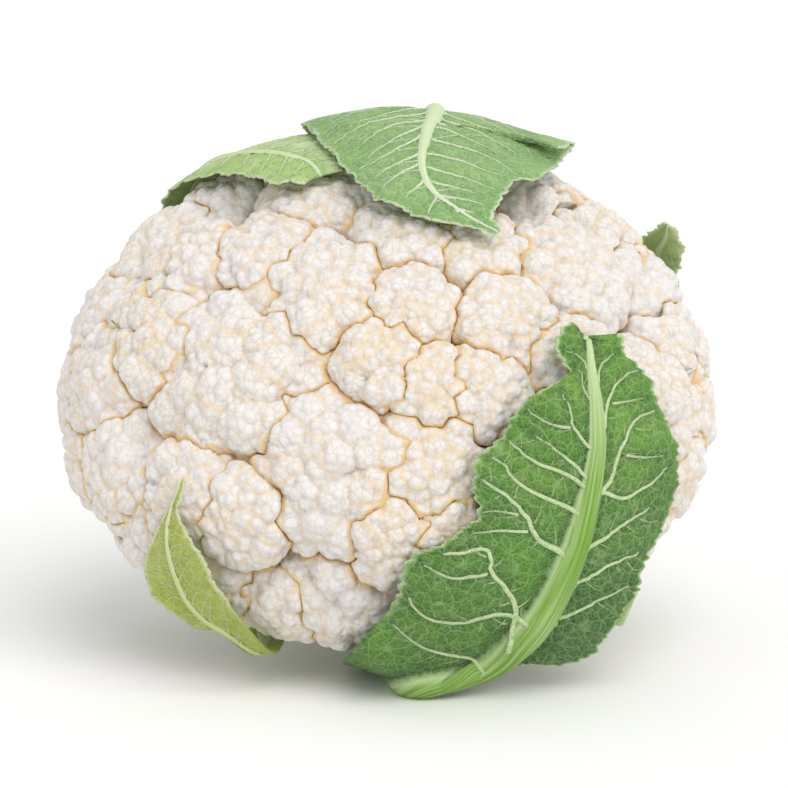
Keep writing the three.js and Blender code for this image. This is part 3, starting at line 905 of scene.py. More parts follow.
def leaf_edges(rib, left, right, ripe, shape, draw):
    """The two edges with their teeth and notches added, pushed straight out from the rib."""
    toothed = []
    for edge in (left, right):
        width = np.linalg.norm(edge - rib, axis=1)
        along = path_length(edge)
        cut = (shape["tooth"] * teeth(along, shape["tooth_length"], draw)
               + shape["notch"] * wave(along, TEETH_TO_NOTCH * shape["tooth_length"], draw)) * ripe
        cut = np.clip(cut, -DEEPEST_NOTCH * width, TALLEST_TOOTH * width)
        toothed.append(edge + unit(edge - rib) * cut[:, None])
    return toothed


def on_grid(grid, path):
    """The values of a grid at the rows and columns of a path between its corners, in proportion
    to the four corners round each."""
    rows, columns = path.T
    row = np.clip(np.floor(rows).astype(int), 0, grid.shape[0] - 2)
    column = np.clip(np.floor(columns).astype(int), 0, grid.shape[1] - 2)
    down = np.clip(rows - row, 0, 1)[:, None]
    along = np.clip(columns - column, 0, 1)[:, None]
    return ((1 - down) * ((1 - along) * grid[row, column] + along * grid[row, column + 1])
            + down * ((1 - along) * grid[row + 1, column] + along * grid[row + 1, column + 1]))


def seen_on_grid(points, targets, first_row):
    """The rows and columns of a leaf's grid that are seen at some places across and up: those of
    the nearest corner, and from there one straight step by the grid's slopes."""
    across, up = as_seen(points)
    targets = np.array(targets, float)
    away = (across[None, first_row:] - targets[:, 0, None, None]) ** 2
    away = away + (up[None, first_row:] - targets[:, 1, None, None]) ** 2
    nearest = away.reshape(len(targets), -1).argmin(axis=1)
    row = nearest // points.shape[1] + first_row
    column = nearest % points.shape[1]
    a, b = (np.gradient(across, axis=axis)[row, column] for axis in (0, 1))
    c, d = (np.gradient(up, axis=axis)[row, column] for axis in (0, 1))
    right = targets[:, 0] - across[row, column]
    above = targets[:, 1] - up[row, column]
    turn = a * d - b * c
    turn = np.where(np.abs(turn) < 1e-4, 1e-4, turn)
    down = np.clip((d * right - b * above) / turn, -1, 1)
    along = np.clip((a * above - c * right) / turn, -1, 1)
    return np.stack([row + down, column + along], axis=1)


# A vein starts this share of the way out from the rib's middle to its side.
FLANK_SHARE = 0.6


def from_rib_side(path, sideways, rib_half):
    """A path that starts on the flank of the rib: its part over the rib gives way to one place,
    at a share of the rib's half width from its middle."""
    middle = sideways.shape[1] // 2
    side = 1 if path[-1, 1] > middle else -1
    row = int(np.clip(path[0, 0], 0, len(rib_half) - 1))
    columns = middle + side * np.arange(middle + 1)
    flank = np.interp(FLANK_SHARE * rib_half[row, 0], sideways[row, columns], np.arange(middle + 1))
    beyond = side * (path[:, 1] - middle) > flank + 0.5
    return np.concatenate([[[path[0, 0] - 1, middle + side * flank]], path[beyond]])


def drawn_veins(veins, points, first_row):
    """Paths over the grid for veins given as places across and up."""
    return [(width, seen_on_grid(points, line, first_row)) for width, *line in veins]


# Grown veins: how far each runs along the leaf for its way out, how fast it bends further along,
# the unevenness of their spacing, and the share of the leaf's width that they reach.
VEIN_SLANTS = (0.55, 0.85)
VEIN_BENDS = (0.006, 0.016)
VEIN_SPACINGS = (0.75, 1.25)
VEIN_REACH = 0.94
# Their forks: the shares of the way out from the first to the last, how much less they slant, and
# their width.
FORK_FROM = 0.45
FORK_TO = 0.97
FORK_TURN = 0.55
FORK_WIDTH_SHARE = 0.6


def grown_veins(places, widths, spread, first, shape, draw):
    """Paths over the grid for veins that leave the rib at uneven spacings on each side in turn,
    lean towards the tip, and fork once half way out."""
    paths = []
    rows = np.arange(len(places))
    for side, width in ((1, widths[0]), (-1, widths[1])):
        start = first + (0.5 * shape["vein_spacing"] if side < 0 else 0)
        while start < places[-1] - 0.5 * shape["vein_spacing"]:
            slant = draw.uniform(*VEIN_SLANTS)
            room = VEIN_REACH * np.interp(start + 0.5 * slant * width.mean(), places, width)
            bend = draw.uniform(*VEIN_BENDS)
            for fork in (0, 1):
                reached = np.linspace(FORK_FROM, FORK_TO, 5) if fork else np.linspace(0, 1, 7)
                out = reached * room
                along = start + slant * out + bend * out ** 2
                if fork:
                    along = along - FORK_TURN * (out - out[0])
                share = out / np.maximum(np.interp(along, places, width), 1)
                kept = (share < FORK_TO) & (along < places[-1])
                if kept.sum() > 3:
                    column = np.interp(-side * share[kept], -spread, np.arange(len(spread)))
                    row = np.interp(along[kept], places, rows)
                    size = shape["vein_width"] * (FORK_WIDTH_SHARE if fork else 1)
                    paths.append((size, np.stack([row, column], axis=1)))
            start += shape["vein_spacing"] * draw.uniform(*VEIN_SPACINGS)
    return paths


# Twigs: their spacing, their angle to the vein, their length as a share of the longest, how fast
# they bend, and their width as a share of the vein's.
TWIG_SPACINGS = (2.4, 5)
TWIG_ANGLES = (60, 85)
TWIG_LENGTHS = (0.4, 1)
TWIG_BEND = 0.07
TWIG_WIDTH_SHARE = 0.36
# Twigs stay this many corners of the leaf's grid clear of the rib, and of the edge.
CLEAR_OF_RIB = 5
CLEAR_OF_EDGE = 2


def side_veins(paths, points, longest, draw):
    """Short thin veins that leave the others on each side in turn, nearly across them in the
    leaf's own surface, bending the way those run, where they stay clear of the rib and the edge."""
    down_rows = np.gradient(points, axis=0)
    along_columns = np.gradient(points, axis=1)
    middle = points.shape[1] // 2
    grown = []
    for width, path in paths:
        line = on_grid(points, path)
        knots = path_length(line)
        side = 1
        for place in np.cumsum(draw.uniform(*TWIG_SPACINGS, 40)):
            if place > knots[-1] - 1:
                break
            start = np.array([[np.interp(place, knots, path[:, part]) for part in (0, 1)]])
            span = int(np.clip(np.searchsorted(knots, place), 1, len(knots) - 1))
            ahead = unit(line[span] - line[span - 1])
            steps = np.stack([on_grid(down_rows, start)[0], on_grid(along_columns, start)[0]])
            slant = math.radians(draw.uniform(*TWIG_ANGLES))
            out = side * np.cross(unit(np.cross(*steps)), ahead)
            heading = math.cos(slant) * ahead + math.sin(slant) * out
            out_rate, ahead_rate = (np.linalg.lstsq(steps.T, way, rcond=None)[0]
                                    for way in (heading, ahead))
            gone = np.linspace(0, draw.uniform(*TWIG_LENGTHS) * longest, 5)[:, None]
            twig = start + gone * out_rate + TWIG_BEND * gone ** 2 * ahead_rate
            aside = np.abs(twig[:, 1] - middle)
            if (aside.min() > CLEAR_OF_RIB and aside.max() < middle - CLEAR_OF_EDGE
                    and twig[:, 0].max() < len(points) - CLEAR_OF_EDGE):
                grown.append((TWIG_WIDTH_SHARE * width, twig))
            side = -side
    return grown


# The corners of a vein's arch, their spacing along it, how much thinner it ends, and how high it
# stands for its half width.
VEIN_CORNERS = 5
VEIN_STEP = 1.2
VEIN_TAPER = 0.6
VEIN_HEIGHT_SHARE = 0.8
# A vein's ends sink into the leaf over a length, by a share of its half width.
SINKING_LENGTH = 1.5
SINKING_SHARE = 1.8
# A vein of this half width or more is fully pale, and the thinnest is this share as pale.
PALE_HALF_WIDTH = 0.45
LEAST_PALENESS = 0.3


def raised_veins(paths, outer, normal, first):
    """Each vein as a half-round bead carried along its path on the leaf's outer face: an arch of
    corners across it, thinning to two fifths at the end, with both ends sunk into the leaf.
    Returns points, how pale each is for its thickness, and faces, whose corners count from first."""
    points = []
    pale = []
    faces = []
    count = first
    for width, path in paths:
        line = on_grid(outer, path)
        knots = path_length(line)
        steps = max(5, round(knots[-1] / VEIN_STEP))
        share = np.linspace(0, 1, steps)
        path = through(path, knots + 1e-6 * np.arange(len(knots)), share * knots[-1])
        line = on_grid(outer, path)
        up = unit(on_grid(normal, path))
        side = unit(np.cross(up, unit(np.gradient(line, axis=0))))
        half = (0.5 * width * (1 - VEIN_TAPER * share))[:, None, None]
        angle = np.linspace(0, math.pi, VEIN_CORNERS)[None, :, None]
        arch = half * (np.cos(angle) * side[:, None] + VEIN_HEIGHT_SHARE * np.sin(angle) * up[:, None])
        buried = 1 - np.clip(np.minimum(share, 1 - share) * knots[-1] / SINKING_LENGTH, 0, 1)
        sunk = 0.03 + SINKING_SHARE * half[:, :, 0] * buried[:, None]
        points.append((line[:, None] + arch - (sunk * up)[:, None]).reshape(-1, 3))
        paleness = np.clip(half[:, 0, 0] / PALE_HALF_WIDTH, LEAST_PALENESS, 1)
        pale.append(np.repeat(paleness, VEIN_CORNERS))
        ring = count + np.arange(steps - 1)[:, None] * VEIN_CORNERS
        corner = np.arange(VEIN_CORNERS)[None]
        after = (corner + 1) % VEIN_CORNERS
        body = np.stack([ring + corner, ring + after, ring + VEIN_CORNERS + after,
                         ring + VEIN_CORNERS + corner], axis=2)
        faces.extend(body.reshape(-1, 4).tolist())
        faces.append((count + np.arange(VEIN_CORNERS))[::-1].tolist())
        count += steps * VEIN_CORNERS
        faces.append((count - VEIN_CORNERS + np.arange(VEIN_CORNERS)).tolist())
    return np.concatenate(points), np.concatenate(pale), faces


def from_veins(paths, points):
    """The distance from each corner of a leaf's grid to the nearest vein."""
    lines = []
    for _, path in paths:
        line = on_grid(points, path)
        knots = path_length(line) + 1e-6 * np.arange(len(line))
        lines.append(through(line, knots, np.linspace(0, knots[-1], max(3, round(knots[-1] / 2)))))
    lines = np.concatenate(lines)
    away = np.empty(points.shape[:2])
    for row, corners in enumerate(points):
        away[row] = np.linalg.norm(corners[:, None] - lines[None], axis=2).min(axis=1)
    return away


def two_sheets(rows, columns, facing):
    """The faces of an outer sheet, an inner sheet whose corners follow the outer's, and the wall
    round their edge."""
    corner = (np.arange(rows - 1)[:, None] * columns + np.arange(columns - 1)[None]).ravel()
    sheet = np.stack([corner, corner + 1, corner + columns + 1, corner + columns], axis=1)
    border = np.concatenate([np.arange(columns - 1), np.arange(rows - 1) * columns + columns - 1,
                             (rows - 1) * columns + np.arange(columns - 1, 0, -1),
                             np.arange(rows - 1, 0, -1) * columns])
    after = np.roll(border, -1)
    wall = np.stack([border, border + rows * columns, after + rows * columns, after], axis=1)
    faces = np.concatenate([sheet, sheet[:, ::-1] + rows * columns, wall])
    return (faces[:, ::-1] if facing > 0 else faces).tolist()


def leaf_rows(hidden, seen, shape):
    """The rib and the two edges of a leaf's rows, their places along it, and the places where it
    first shows and is first toothed. Hidden rows follow the stations, seen rows the lines of
    sight, and smooth curves run through both."""
    curves = on_stations(hidden)
    if seen:
        parts = [seen_at([row[part] for row in seen]) for part in range(3)]
        curves = [np.concatenate(pair) for pair in zip(curves, parts)]
    knots = np.mean([path_length(curve) for curve in curves], axis=0)
    shown, toothed = np.interp([shape["shown_row"], shape["toothed_row"]], np.arange(len(knots)), knots)
    hidden_rows = round(shape["rows"] * shape["hidden_share"])
    places = np.concatenate([np.linspace(0, shown, hidden_rows, endpoint=False),
                             np.linspace(shown, knots[-1], shape["rows"] - hidden_rows)])
    return [through(curve, knots, places) for curve in curves], places, shown, toothed


def blade_grid(rib, left, right, places, ripe, shape, draw):
    """The corners of a leaf, row by row, and how far out each column is: 1 at the left edge, 0 at
    the rib and -1 at the right edge. Across a row, the height goes from the rib's to the edge's
    as the square of the way out, and the edges crinkle."""
    out = (np.linspace(0, 1, shape["columns"] // 2 + 1) ** CROWDING)[1:]
    spread = np.concatenate([out[::-1], [0], -out])
    outness = np.abs(spread)[None]
    edge = np.where((spread > 0)[None, :, None], left[:, None], right[:, None])
    points = rib[:, None] + outness[..., None] * (edge - rib[:, None])
    rib_lift = lift_of(rib)[:, None]
    lift = rib_lift + spread[None] ** 2 * (lift_of(edge) - rib_lift)
    crinkle = np.stack([wave(places, shape["crinkle_length"], draw) for _ in range(2)])
    crinkle = np.where((spread > 0)[None], crinkle[0][:, None], crinkle[1][:, None])
    lift = lift + shape["crinkle"] * crinkle * outness ** 3 * ripe[:, None]
    return lifted(points, np.maximum(lift, LEAST_LIFT)), spread


def on_all_corners(fields, grid_shape, vein_corners):
    """The values at every corner of a leaf: those of its grid for both sheets, then the veins'."""
    return {label: np.concatenate([np.tile(np.broadcast_to(on_sheet, grid_shape).ravel(), 2),
                                   np.broadcast_to(on_veins, vein_corners)])
            for label, (on_sheet, on_veins) in fields.items()}


def leaf(name, hidden, seen, shape, draw):
    """A leaf as a grid of rows across its rib, with an outer and an inner sheet. The rib is a
    half-round bar, the veins are beads, and the blade swells between them."""
    (rib, left, right), places, shown, toothed = leaf_rows(hidden, seen, shape)
    ripe = np.clip((places - toothed) / RIPENING, 0, 1)
    left, right = leaf_edges(rib, left, right, ripe, shape, draw)
    points, spread = blade_grid(rib, left, right, places, ripe, shape, draw)
    outness = np.abs(spread)[None]
    normal = unit(np.cross(np.gradient(points, axis=0), np.gradient(points, axis=1)))
    facing = np.sign((normal * (points - HEAD_CENTRE)).sum())
    normal = normal * facing
    widths = [np.linalg.norm(edge - rib, axis=1) for edge in (left, right)]
    first_row = int(np.searchsorted(places, shown))
    sideways = outness * np.where((spread > 0)[None], widths[0][:, None], widths[1][:, None])
    share = places / places[-1]
    rib_half = np.interp(share, shape["rib_at"], shape["rib_half"])
    widest = WIDEST_RIB_SHARE * np.maximum(np.maximum(*widths), LEAST_WIDTH)
    rib_half = np.minimum(rib_half, widest)[:, None]
    bar = np.sqrt(np.clip(1 - (sideways / rib_half) ** 2, 0, 1))
    if "veins" in shape:
        paths = drawn_veins(shape["veins"], points, first_row)
    else:
        paths = grown_veins(places, widths, spread, toothed - VEINS_BEFORE_TEETH, shape, draw)
    paths = [(width, from_rib_side(path, sideways, rib_half)) for width, path in paths]
    paths += drawn_veins(shape.get("forks", []), points, first_row)
    paths = [(width, path) for width, path in paths if len(path) > 2]
    away = from_veins(paths, points)
    clear = np.clip((sideways - rib_half) / SWELL_FROM_RIB, 0, 1)
    swell = np.clip(away / SWELL_REACH, 0, 1) ** SWELL_POWER * clear * ripe[:, None]
    height = RIB_HEIGHT_SHARE * rib_half * bar + shape["quilt"] * swell * (1 - outness ** 4)
    outer = points + normal * (THINNEST_BLADE + height)[..., None]
    inner = points - normal * (RIB_BACK_SHARE * rib_half * bar)[..., None]
    outer[..., 2] = np.maximum(outer[..., 2], 0)
    inner[..., 2] = np.maximum(inner[..., 2], 0.02)
    twigs = side_veins(paths, points, shape["twig_length"], draw)
    rows, columns = sideways.shape
    vein_points, vein_pale, vein_faces = raised_veins(paths + twigs, outer, normal, 2 * rows * columns)
    vein_points[:, 2] = np.maximum(vein_points[:, 2], 0)

    to_edge = (1 - outness) * np.maximum(*widths)[:, None]
    from_rib = np.maximum(sideways - rib_half, 0)
    # Each field: its values over the grid, then those on the veins.
    fields = {
        "vein": (np.zeros((1, 1)), vein_pale),
        # The valley: where painted shade falls beside the veins and the rib.
        "valley": (np.exp(-(np.minimum(away, VALLEY_SHADE_FROM_RIB * from_rib) / VALLEY_SHADE_REACH) ** 2), 0),
        "rib": (bar, 0),
        # The rim: where the painted highlight along the edge goes.
        "rim": (np.clip(1.4 - to_edge / EDGE_HIGHLIGHT_WIDTH, 0, 1) * ripe[:, None], 0),
        "side": (spread[None] * 0.5 + 0.5, 0.5),
        "along": (share[:, None], 0.5),
    }
    values = on_all_corners(fields, (rows, columns), len(vein_points))
    points = np.concatenate([outer.reshape(-1, 3), inner.reshape(-1, 3), vein_points])
    return mesh_piece(name, points, two_sheets(rows, columns, facing) + vein_faces, values)


# How many patches of tone, meshes of the net of veins and meshes of the finer one to a metre.
LEAF_PATCHES = 60
NET = 330
FINE_NET = 900
# How many strands there are across a whole leaf, and end to end along it.
STRANDS_ACROSS = 80
STRANDS_ALONG = 6


def rib_colour(tree, bar, side, along, colours):
    """A rib's colour, paler at its flanks and its tip, and streaked by strands that run along it.
    Returns the colour, and how strong the streaks are."""
    tip = value_map(tree, along, 0.8, 0.95)
    rib = mixed(tree, tip, colours["rib"], colours["vein"])
    flank = value_map(tree, bar, 0.35, 0.65, 0.75, 0)
    rib = mixed(tree, flank, rib, colours["vein"])
    run = tree.nodes.new("ShaderNodeCombineXYZ")
    tree.links.new(value_map(tree, side, 0, 1, 0, STRANDS_ACROSS), run.inputs["X"])
    tree.links.new(value_map(tree, along, 0, 1, 0, STRANDS_ALONG), run.inputs["Y"])
    strands = noise(tree, run.outputs["Vector"], 1, detail=2)
    streaks = value_map(tree, strands, 0.4, 0.68, 0, 0.55)
    return mixed(tree, streaks, rib, colours["vein"]), streaks


def leaf_skin(name, colours):
    """Waxy green, brighter in patches, with painted shade that darkens it near the ground and beside
    the veins and the rib, paler on the ribs, the veins and the fine net between them, and with a
    painted highlight on the rim of the edge."""
    material, tree, shader, place = new_material(name)
    bar = attribute(tree, "rib")
    side = attribute(tree, "side")
    along = attribute(tree, "along")
    patchy = value_map(tree, noise(tree, place, LEAF_PATCHES, detail=4), 0.35, 0.65)
    colour = mixed(tree, patchy, colours["blade"], colours["bright"])
    parts = tree.nodes.new("ShaderNodeSeparateXYZ")
    tree.links.new(place, parts.inputs["Vector"])
    # Painted shade: darker towards the ground, under the curd.
    low = value_map(tree, parts.outputs["Z"], 0.075, 0.02, 0, 0.9)
    colour = mixed(tree, low, colour, colours["low"])
    left = value_map(tree, side, 0.5, 0.56)
    colour = mixed(tree, left, colour, mixed(tree, patchy, colours["left"], colour))

    winding = wandering(tree, place, scale=170, shift=0.0015)
    net = cells(tree, winding, "DISTANCE_TO_EDGE", NET)
    mesh = cells(tree, winding, "DISTANCE_TO_EDGE", FINE_NET)
    # Painted shade in the valleys beside the veins and the rib.
    valley = value_map(tree, attribute(tree, "valley"), 0, 1, 0, 0.75)
    colour = mixed(tree, valley, colour, colours["low"])
    thread = value_map(tree, net, 0.08, 0.0, 0, 0.22)
    colour = mixed(tree, thread, colour, colours["vein"])
    fine = value_map(tree, mesh, 0.16, 0.0, 0, 0.15)
    colour = mixed(tree, fine, colour, colours["vein"])
    # Painted highlight along the rim of the edge.
    rim = value_map(tree, attribute(tree, "rim"), 0, 1, 0, 0.85)
    colour = mixed(tree, rim, colour, colours["vein"])
    colour = mixed(tree, attribute(tree, "vein"), colour, colours["vein"])

    rib, streaks = rib_colour(tree, bar, side, along, colours)
    on_rib = value_map(tree, bar, 0.0, 0.4)
    colour = mixed(tree, on_rib, colour, rib)
    tree.links.new(colour, shader.inputs["Base Color"])

    blade = value_map(tree, bar, 0, 0.3, 1, 0)
    puffs = product(tree, blade, value_map(tree, net, 0.0, 0.5))
    pebbles = product(tree, blade, value_map(tree, mesh, 0.0, 0.3))
    ridges = product(tree, bar, streaks)
    puffed = bumped(tree, puffs, strength=0.7, distance=0.0008)
    pebbled = bumped(tree, pebbles, strength=0.6, distance=0.0004, normal=puffed)
    ridged = bumped(tree, ridges, strength=0.5, distance=0.0004, normal=pebbled)
    tree.links.new(ridged, shader.inputs["Normal"])
    surface(shader, roughness=0.58, gloss=0.25, light_through=0.15,
            reach_by_colour=(0.5, 1.0, 0.3), depth=0.001)
    return material


def from_neck(bearing, width, height):
    """A leaf's first two stations: narrow on the stalk's neck, and wider where it bends away, with
    its rib 4 mm over its edges."""
    return [[bearing, 170, 31, 3, 3, 31, 31],
            [bearing, 161, height + 4, width, width, height, height]]


def leaf_piece(label, hidden, seen, shape, skin, seed):
    """A leaf in place of its CAD node."""
    piece = leaf(label + "_blade", hidden, seen, shape, np.random.default_rng(seed))
    piece.data.materials.append(skin)
    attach(piece, "root")
    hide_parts(label)


# The large leaf at the front: it passes under the curd, bears on the ground, and stands up the
# curd's right side with its outer face and thick rib showing.
# In each leaf's colours, low is the painted shade near the ground and beside the veins and the rib.
deep_skin = leaf_skin("deep_green_leaf", {
    "blade": (0.08, 0.225, 0.026), "bright": (0.155, 0.34, 0.042), "low": (0.052, 0.135, 0.036),
    "left": (0.1, 0.25, 0.03), "vein": (0.56, 0.7, 0.38), "rib": (0.165, 0.33, 0.03),
})
# Each station: the rib's bearing, angle down and height, then the widths to the left and right
# edges, and the heights of both.
FRONT_RIGHT_HIDDEN = [
    *from_neck(8, width=6, height=16),
    [8, 140, 7, 7, 7, 6, 6], [6, 120, 7, 13, 7, 11, 6],
    [5, 107, 7, 18, 5, 5.5, 6],
]
# Each row: the rib, the left edge and the right edge, as millimetres across, up and off the curd.
FRONT_RIGHT_SEEN = [
    [(12.0, -73.4, 6), (-6.8, -64.3, 5), (14.6, -75.6, 5)],
    [(27.1, -69.2, 4), (0.8, -56.2, 3), (31.0, -72.0, 4)],
    [(38.9, -60.2, 3.5), (4.3, -49.1, 1.8), (55.0, -67.5, 7)],
    [(43.7, -53.5, 3), (7.6, -41.6, 1.3), (62.6, -57.8, 9)],
    [(47.8, -45.4, 3), (16.2, -37.8, 1.2), (67.5, -49.7, 8)],
    [(51.0, -37.3, 3), (25.4, -31.1, 1.4), (69.9, -41.6, 6)],
    [(53.2, -29.7, 3), (23.8, -23.2, 2), (74.0, -33.2, 4)],
    [(55.1, -21.1, 3), (25.4, -15.7, 2), (77.8, -23.2, 3)],
    [(56.4, -12.4, 3), (31.6, -9.2, 2), (77.8, -14.3, 3)],
    [(56.4, -3.5, 3), (35.9, -2.2, 2.5), (75.1, -4.9, 3)],
    [(55.6, 4.6, 3), (43.5, 3.8, 3), (71.3, 3.2, 3)],
    [(54.8, 11.3, 3), (50.0, 8.6, 3.5), (67.0, 10.0, 3)],
    [(54.5, 15.4, 3.5), (45.6, 14.6, 4), (63.6, 14.6, 4)],
    [(54.3, 17.3, 4), (47.4, 18.4, 5), (62.6, 17.6, 5)],
    [(54.0, 17.9, 5), (50.3, 21.6, 6), (61.8, 18.4, 6)],
]
# Each vein: its width at the rib, then its points as millimetres across and up.
FRONT_RIGHT_VEINS = [
    # to the left
    [1.2, (54.3, -12.2), (50.2, -7.0), (48.9, -0.8), (46.4, 3.2)],
    [1.2, (53.2, -20.5), (47.0, -14.3), (38.9, -8.9)],
    [1.4, (52.4, -22.4), (45.6, -18.4), (40.2, -16.5), (32.9, -10.3)],
    [1.5, (50.2, -29.2), (42.9, -25.9), (36.2, -22.4), (30.8, -16.2), (28.1, -14.3)],
    [1.8, (46.4, -40.0), (40.2, -35.9), (38.3, -31.9), (33.5, -26.5), (25.4, -20.5)],
    [2.0, (32.1, -64.3), (34.0, -53.5), (31.6, -49.4), (28.6, -45.9), (27.5, -40.5), (14.6, -40.8)],
    [1.6, (30.8, -56.7), (17.3, -58.9), (10.5, -57.5), (5.0, -51.5)],
    [1.2, (22.0, -68.5), (9.2, -65.6), (0.8, -59.0)],
    [0.9, (54.6, 0.5), (52.6, 4.0), (51.8, 8.1), (50.4, 9.4)],
    [0.8, (54.4, 8.5), (51.2, 12.6), (47.2, 13.6)],
    # to the right
    [1.0, (55.1, 4.6), (57.8, 10.0), (61.8, 13.5)],
    [1.2, (57.2, -7.6), (59.7, 0.5), (63.2, 5.9), (68.6, 8.6)],
    [1.5, (57.8, -23.8), (63.2, -11.6), (67.2, -4.9), (72.6, -2.2)],
    [1.4, (57.8, -24.3), (63.2, -25.9), (68.6, -23.2), (76.1, -17.0)],
    [1.5, (55.1, -38.6), (63.2, -33.2), (71.3, -27.8)],
    [1.4, (51.8, -48.1), (59.1, -44.0), (68.6, -40.0)],
    [1.4, (46.1, -58.0), (57.8, -52.8), (65.9, -48.7)],
]
# The forks start away from the rib.
FRONT_RIGHT_FORKS = [
    [1.0, (50.4, -7.2), (45.6, -6.5), (40.2, -3.8), (37.0, -1.2)],
    [1.1, (38.9, -34.6), (28.1, -34.6), (21.3, -35.9)],
    [0.9, (36.8, -30.5), (30.2, -29.5), (25.0, -30.0)],
    [1.2, (28.6, -45.9), (17.3, -47.2), (9.2, -43.2)],
    [0.9, (59.7, -0.8), (64.8, 0.0), (69.9, 1.1)],
    [0.9, (63.2, -14.3), (69.0, -15.0), (75.3, -14.3)],
    [0.6, (67.0, -31.0), (71.0, -32.4), (73.4, -31.6)],
    [0.6, (63.4, -42.2), (67.0, -45.4), (70.0, -44.6)],
]
# The size of the leaf's grid, the share of its rows before the row that first shows, the height
# and length of its teeth and notches and the row they start at, the length of its twigs, the
# height and length of its crinkles, how far it swells, and the rib's half width along it.
FRONT_RIGHT_SHAPE = {
    "rows": 260, "columns": 60, "hidden_share": 0.16, "shown_row": 4,
    "tooth": 1.9, "tooth_length": 2.9, "notch": 0.6, "toothed_row": 5.5, "twig_length": 6,
    "crinkle": 0.8, "crinkle_length": 13, "quilt": 1.4,
    "veins": FRONT_RIGHT_VEINS, "forks": FRONT_RIGHT_FORKS,
    "rib_at": [0, 0.42, 0.56, 0.67, 0.8, 0.88, 0.95, 1],
    "rib_half": [6.5, 6.6, 6.0, 4.6, 3.1, 2.0, 1.2, 0.6],
}
leaf_piece("leaf_front_right", FRONT_RIGHT_HIDDEN, FRONT_RIGHT_SEEN, FRONT_RIGHT_SHAPE, deep_skin, 31)

# The narrow young leaf at the lower left: yellow-green, with its tip against the curd.
young_skin = leaf_skin("yellow_green_leaf", {
    "blade": (0.42, 0.48, 0.08), "bright": (0.5, 0.55, 0.12), "low": (0.34, 0.43, 0.07),
    "left": (0.62, 0.62, 0.31), "vein": (0.7, 0.74, 0.48), "rib": (0.5, 0.6, 0.22),
})
FRONT_LEFT_HIDDEN = [
    *from_neck(-36, width=5, height=15),
    [-36, 140, 6, 5, 5, 5, 5], [-34, 118, 3, 6, 8, 3, 3],
]
FRONT_LEFT_SEEN = [
    [(-36.2, -66.4, 3), (-38.3, -67.4, 3), (-32.7, -65.9, 2.5)],
    [(-42.7, -62.1, 3), (-45.4, -62.1, 4), (-37.8, -60.2, 2.5)],
    [(-48.9, -58.3, 3), (-51.3, -60.8, 4.5), (-41.6, -55.6, 2.5)],
    [(-53.5, -53.5, 3), (-57.8, -56.2, 5), (-44.8, -50.8, 2.5)],
    [(-56.4, -47.5, 3), (-63.2, -51.3, 5), (-48.1, -45.4, 2.5)],
    [(-58.3, -41.3, 3), (-64.8, -45.4, 4.5), (-50.8, -40.0, 2.5)],
    [(-58.9, -34.6, 3), (-63.0, -37.3, 4), (-53.9, -35.4, 2.5)],
    [(-57.8, -28.6, 2.5), (-60.0, -31.0, 3), (-56.0, -29.8, 2.5)],
    [(-56.2, -23.8, 2.5), (-57.2, -25.0, 3), (-55.2, -24.6, 2.5)],
    [(-54.9, -20.6, 2.5), (-55.4, -21.0, 2.5), (-54.2, -20.6, 2.5)],
]
FRONT_LEFT_SHAPE = {
    "rows": 120, "columns": 38, "hidden_share": 0.25, "shown_row": 3,
    "tooth": 1.1, "tooth_length": 2.3, "notch": 0.3, "toothed_row": 5, "twig_length": 3,
    "crinkle": 0.5, "crinkle_length": 10, "quilt": 0.5, "vein_spacing": 4.2, "vein_width": 0.55,
    "rib_at": [0, 0.4, 0.6, 1], "rib_half": [5.0, 2.6, 1.1, 0.4],
}
leaf_piece("leaf_front_left", FRONT_LEFT_HIDDEN, FRONT_LEFT_SEEN, FRONT_LEFT_SHAPE, young_skin, 32)

# The leaf over the top: it comes up the back, folds forward over the curd and points down in
# front, with its blue-green outer face showing.
bloom_skin = leaf_skin("blue_green_leaf", {
    "blade": (0.22, 0.4, 0.13), "bright": (0.3, 0.49, 0.175), "low": (0.18, 0.35, 0.11),
    "left": (0.26, 0.45, 0.16), "vein": (0.68, 0.78, 0.54), "rib": (0.6, 0.72, 0.44),
})
TOP_HIDDEN = [
    *from_neck(178, width=7, height=16),
    [178, 140, 7, 8, 8, 6, 6], [178, 120, 3, 11, 11, 3, 3],
    [178, 102, 3, 20, 20, 3, 3], [176, 86, 5, 25, 30, 3, 4.5], [172, 70, 6, 28, 36, 3, 4.5],
    [168, 54, 6.5, 30, 39, 6, 4], [166, 42, 5.5, 34, 34, 8, 4],
]
TOP_SEEN = [
    [(11.3, 73.4, 5), (50.5, 70.2, 4.5), (-15.7, 69.1, 4)],
    [(10.0, 67.5, 4.5), (47.0, 65.0, 3.5), (-10.5, 63.2, 4)],
    [(10.0, 62.1, 4), (40.5, 60.4, 3), (-6.2, 58.6, 3.5)],
    [(11.6, 57.8, 4), (34.0, 59.0, 3), (-1.1, 54.8, 3)],
    [(14.6, 54.8, 3.5), (30.8, 55.4, 3), (4.6, 52.1, 3)],
    [(18.6, 52.1, 3.5), (29.4, 52.4, 3), (10.5, 49.7, 2.5)],
    [(22.7, 49.4, 3), (28.0, 50.2, 3), (17.3, 48.3, 2.5)],
    [(26.7, 47.2, 3), (29.2, 48.4, 3.5), (24.6, 46.6, 2.5)],
    [(30.2, 45.6, 3.5), (31.0, 46.4, 4), (29.5, 45.0, 3)],
]
TOP_SHAPE = {
    "rows": 180, "columns": 66, "hidden_share": 0.42, "shown_row": 6,
    "tooth": 1.9, "tooth_length": 2.9, "notch": 0.7, "toothed_row": 4, "twig_length": 5,
    "crinkle": 0.9, "crinkle_length": 12, "quilt": 0.9, "vein_spacing": 9, "vein_width": 1.1,
    "rib_at": [0, 0.3, 0.6, 0.75, 0.85, 1], "rib_half": [7.0, 4.5, 2.6, 1.8, 1.0, 0.35],
}
leaf_piece("leaf_top", TOP_HIDDEN, TOP_SEEN, TOP_SHAPE, bloom_skin, 33)

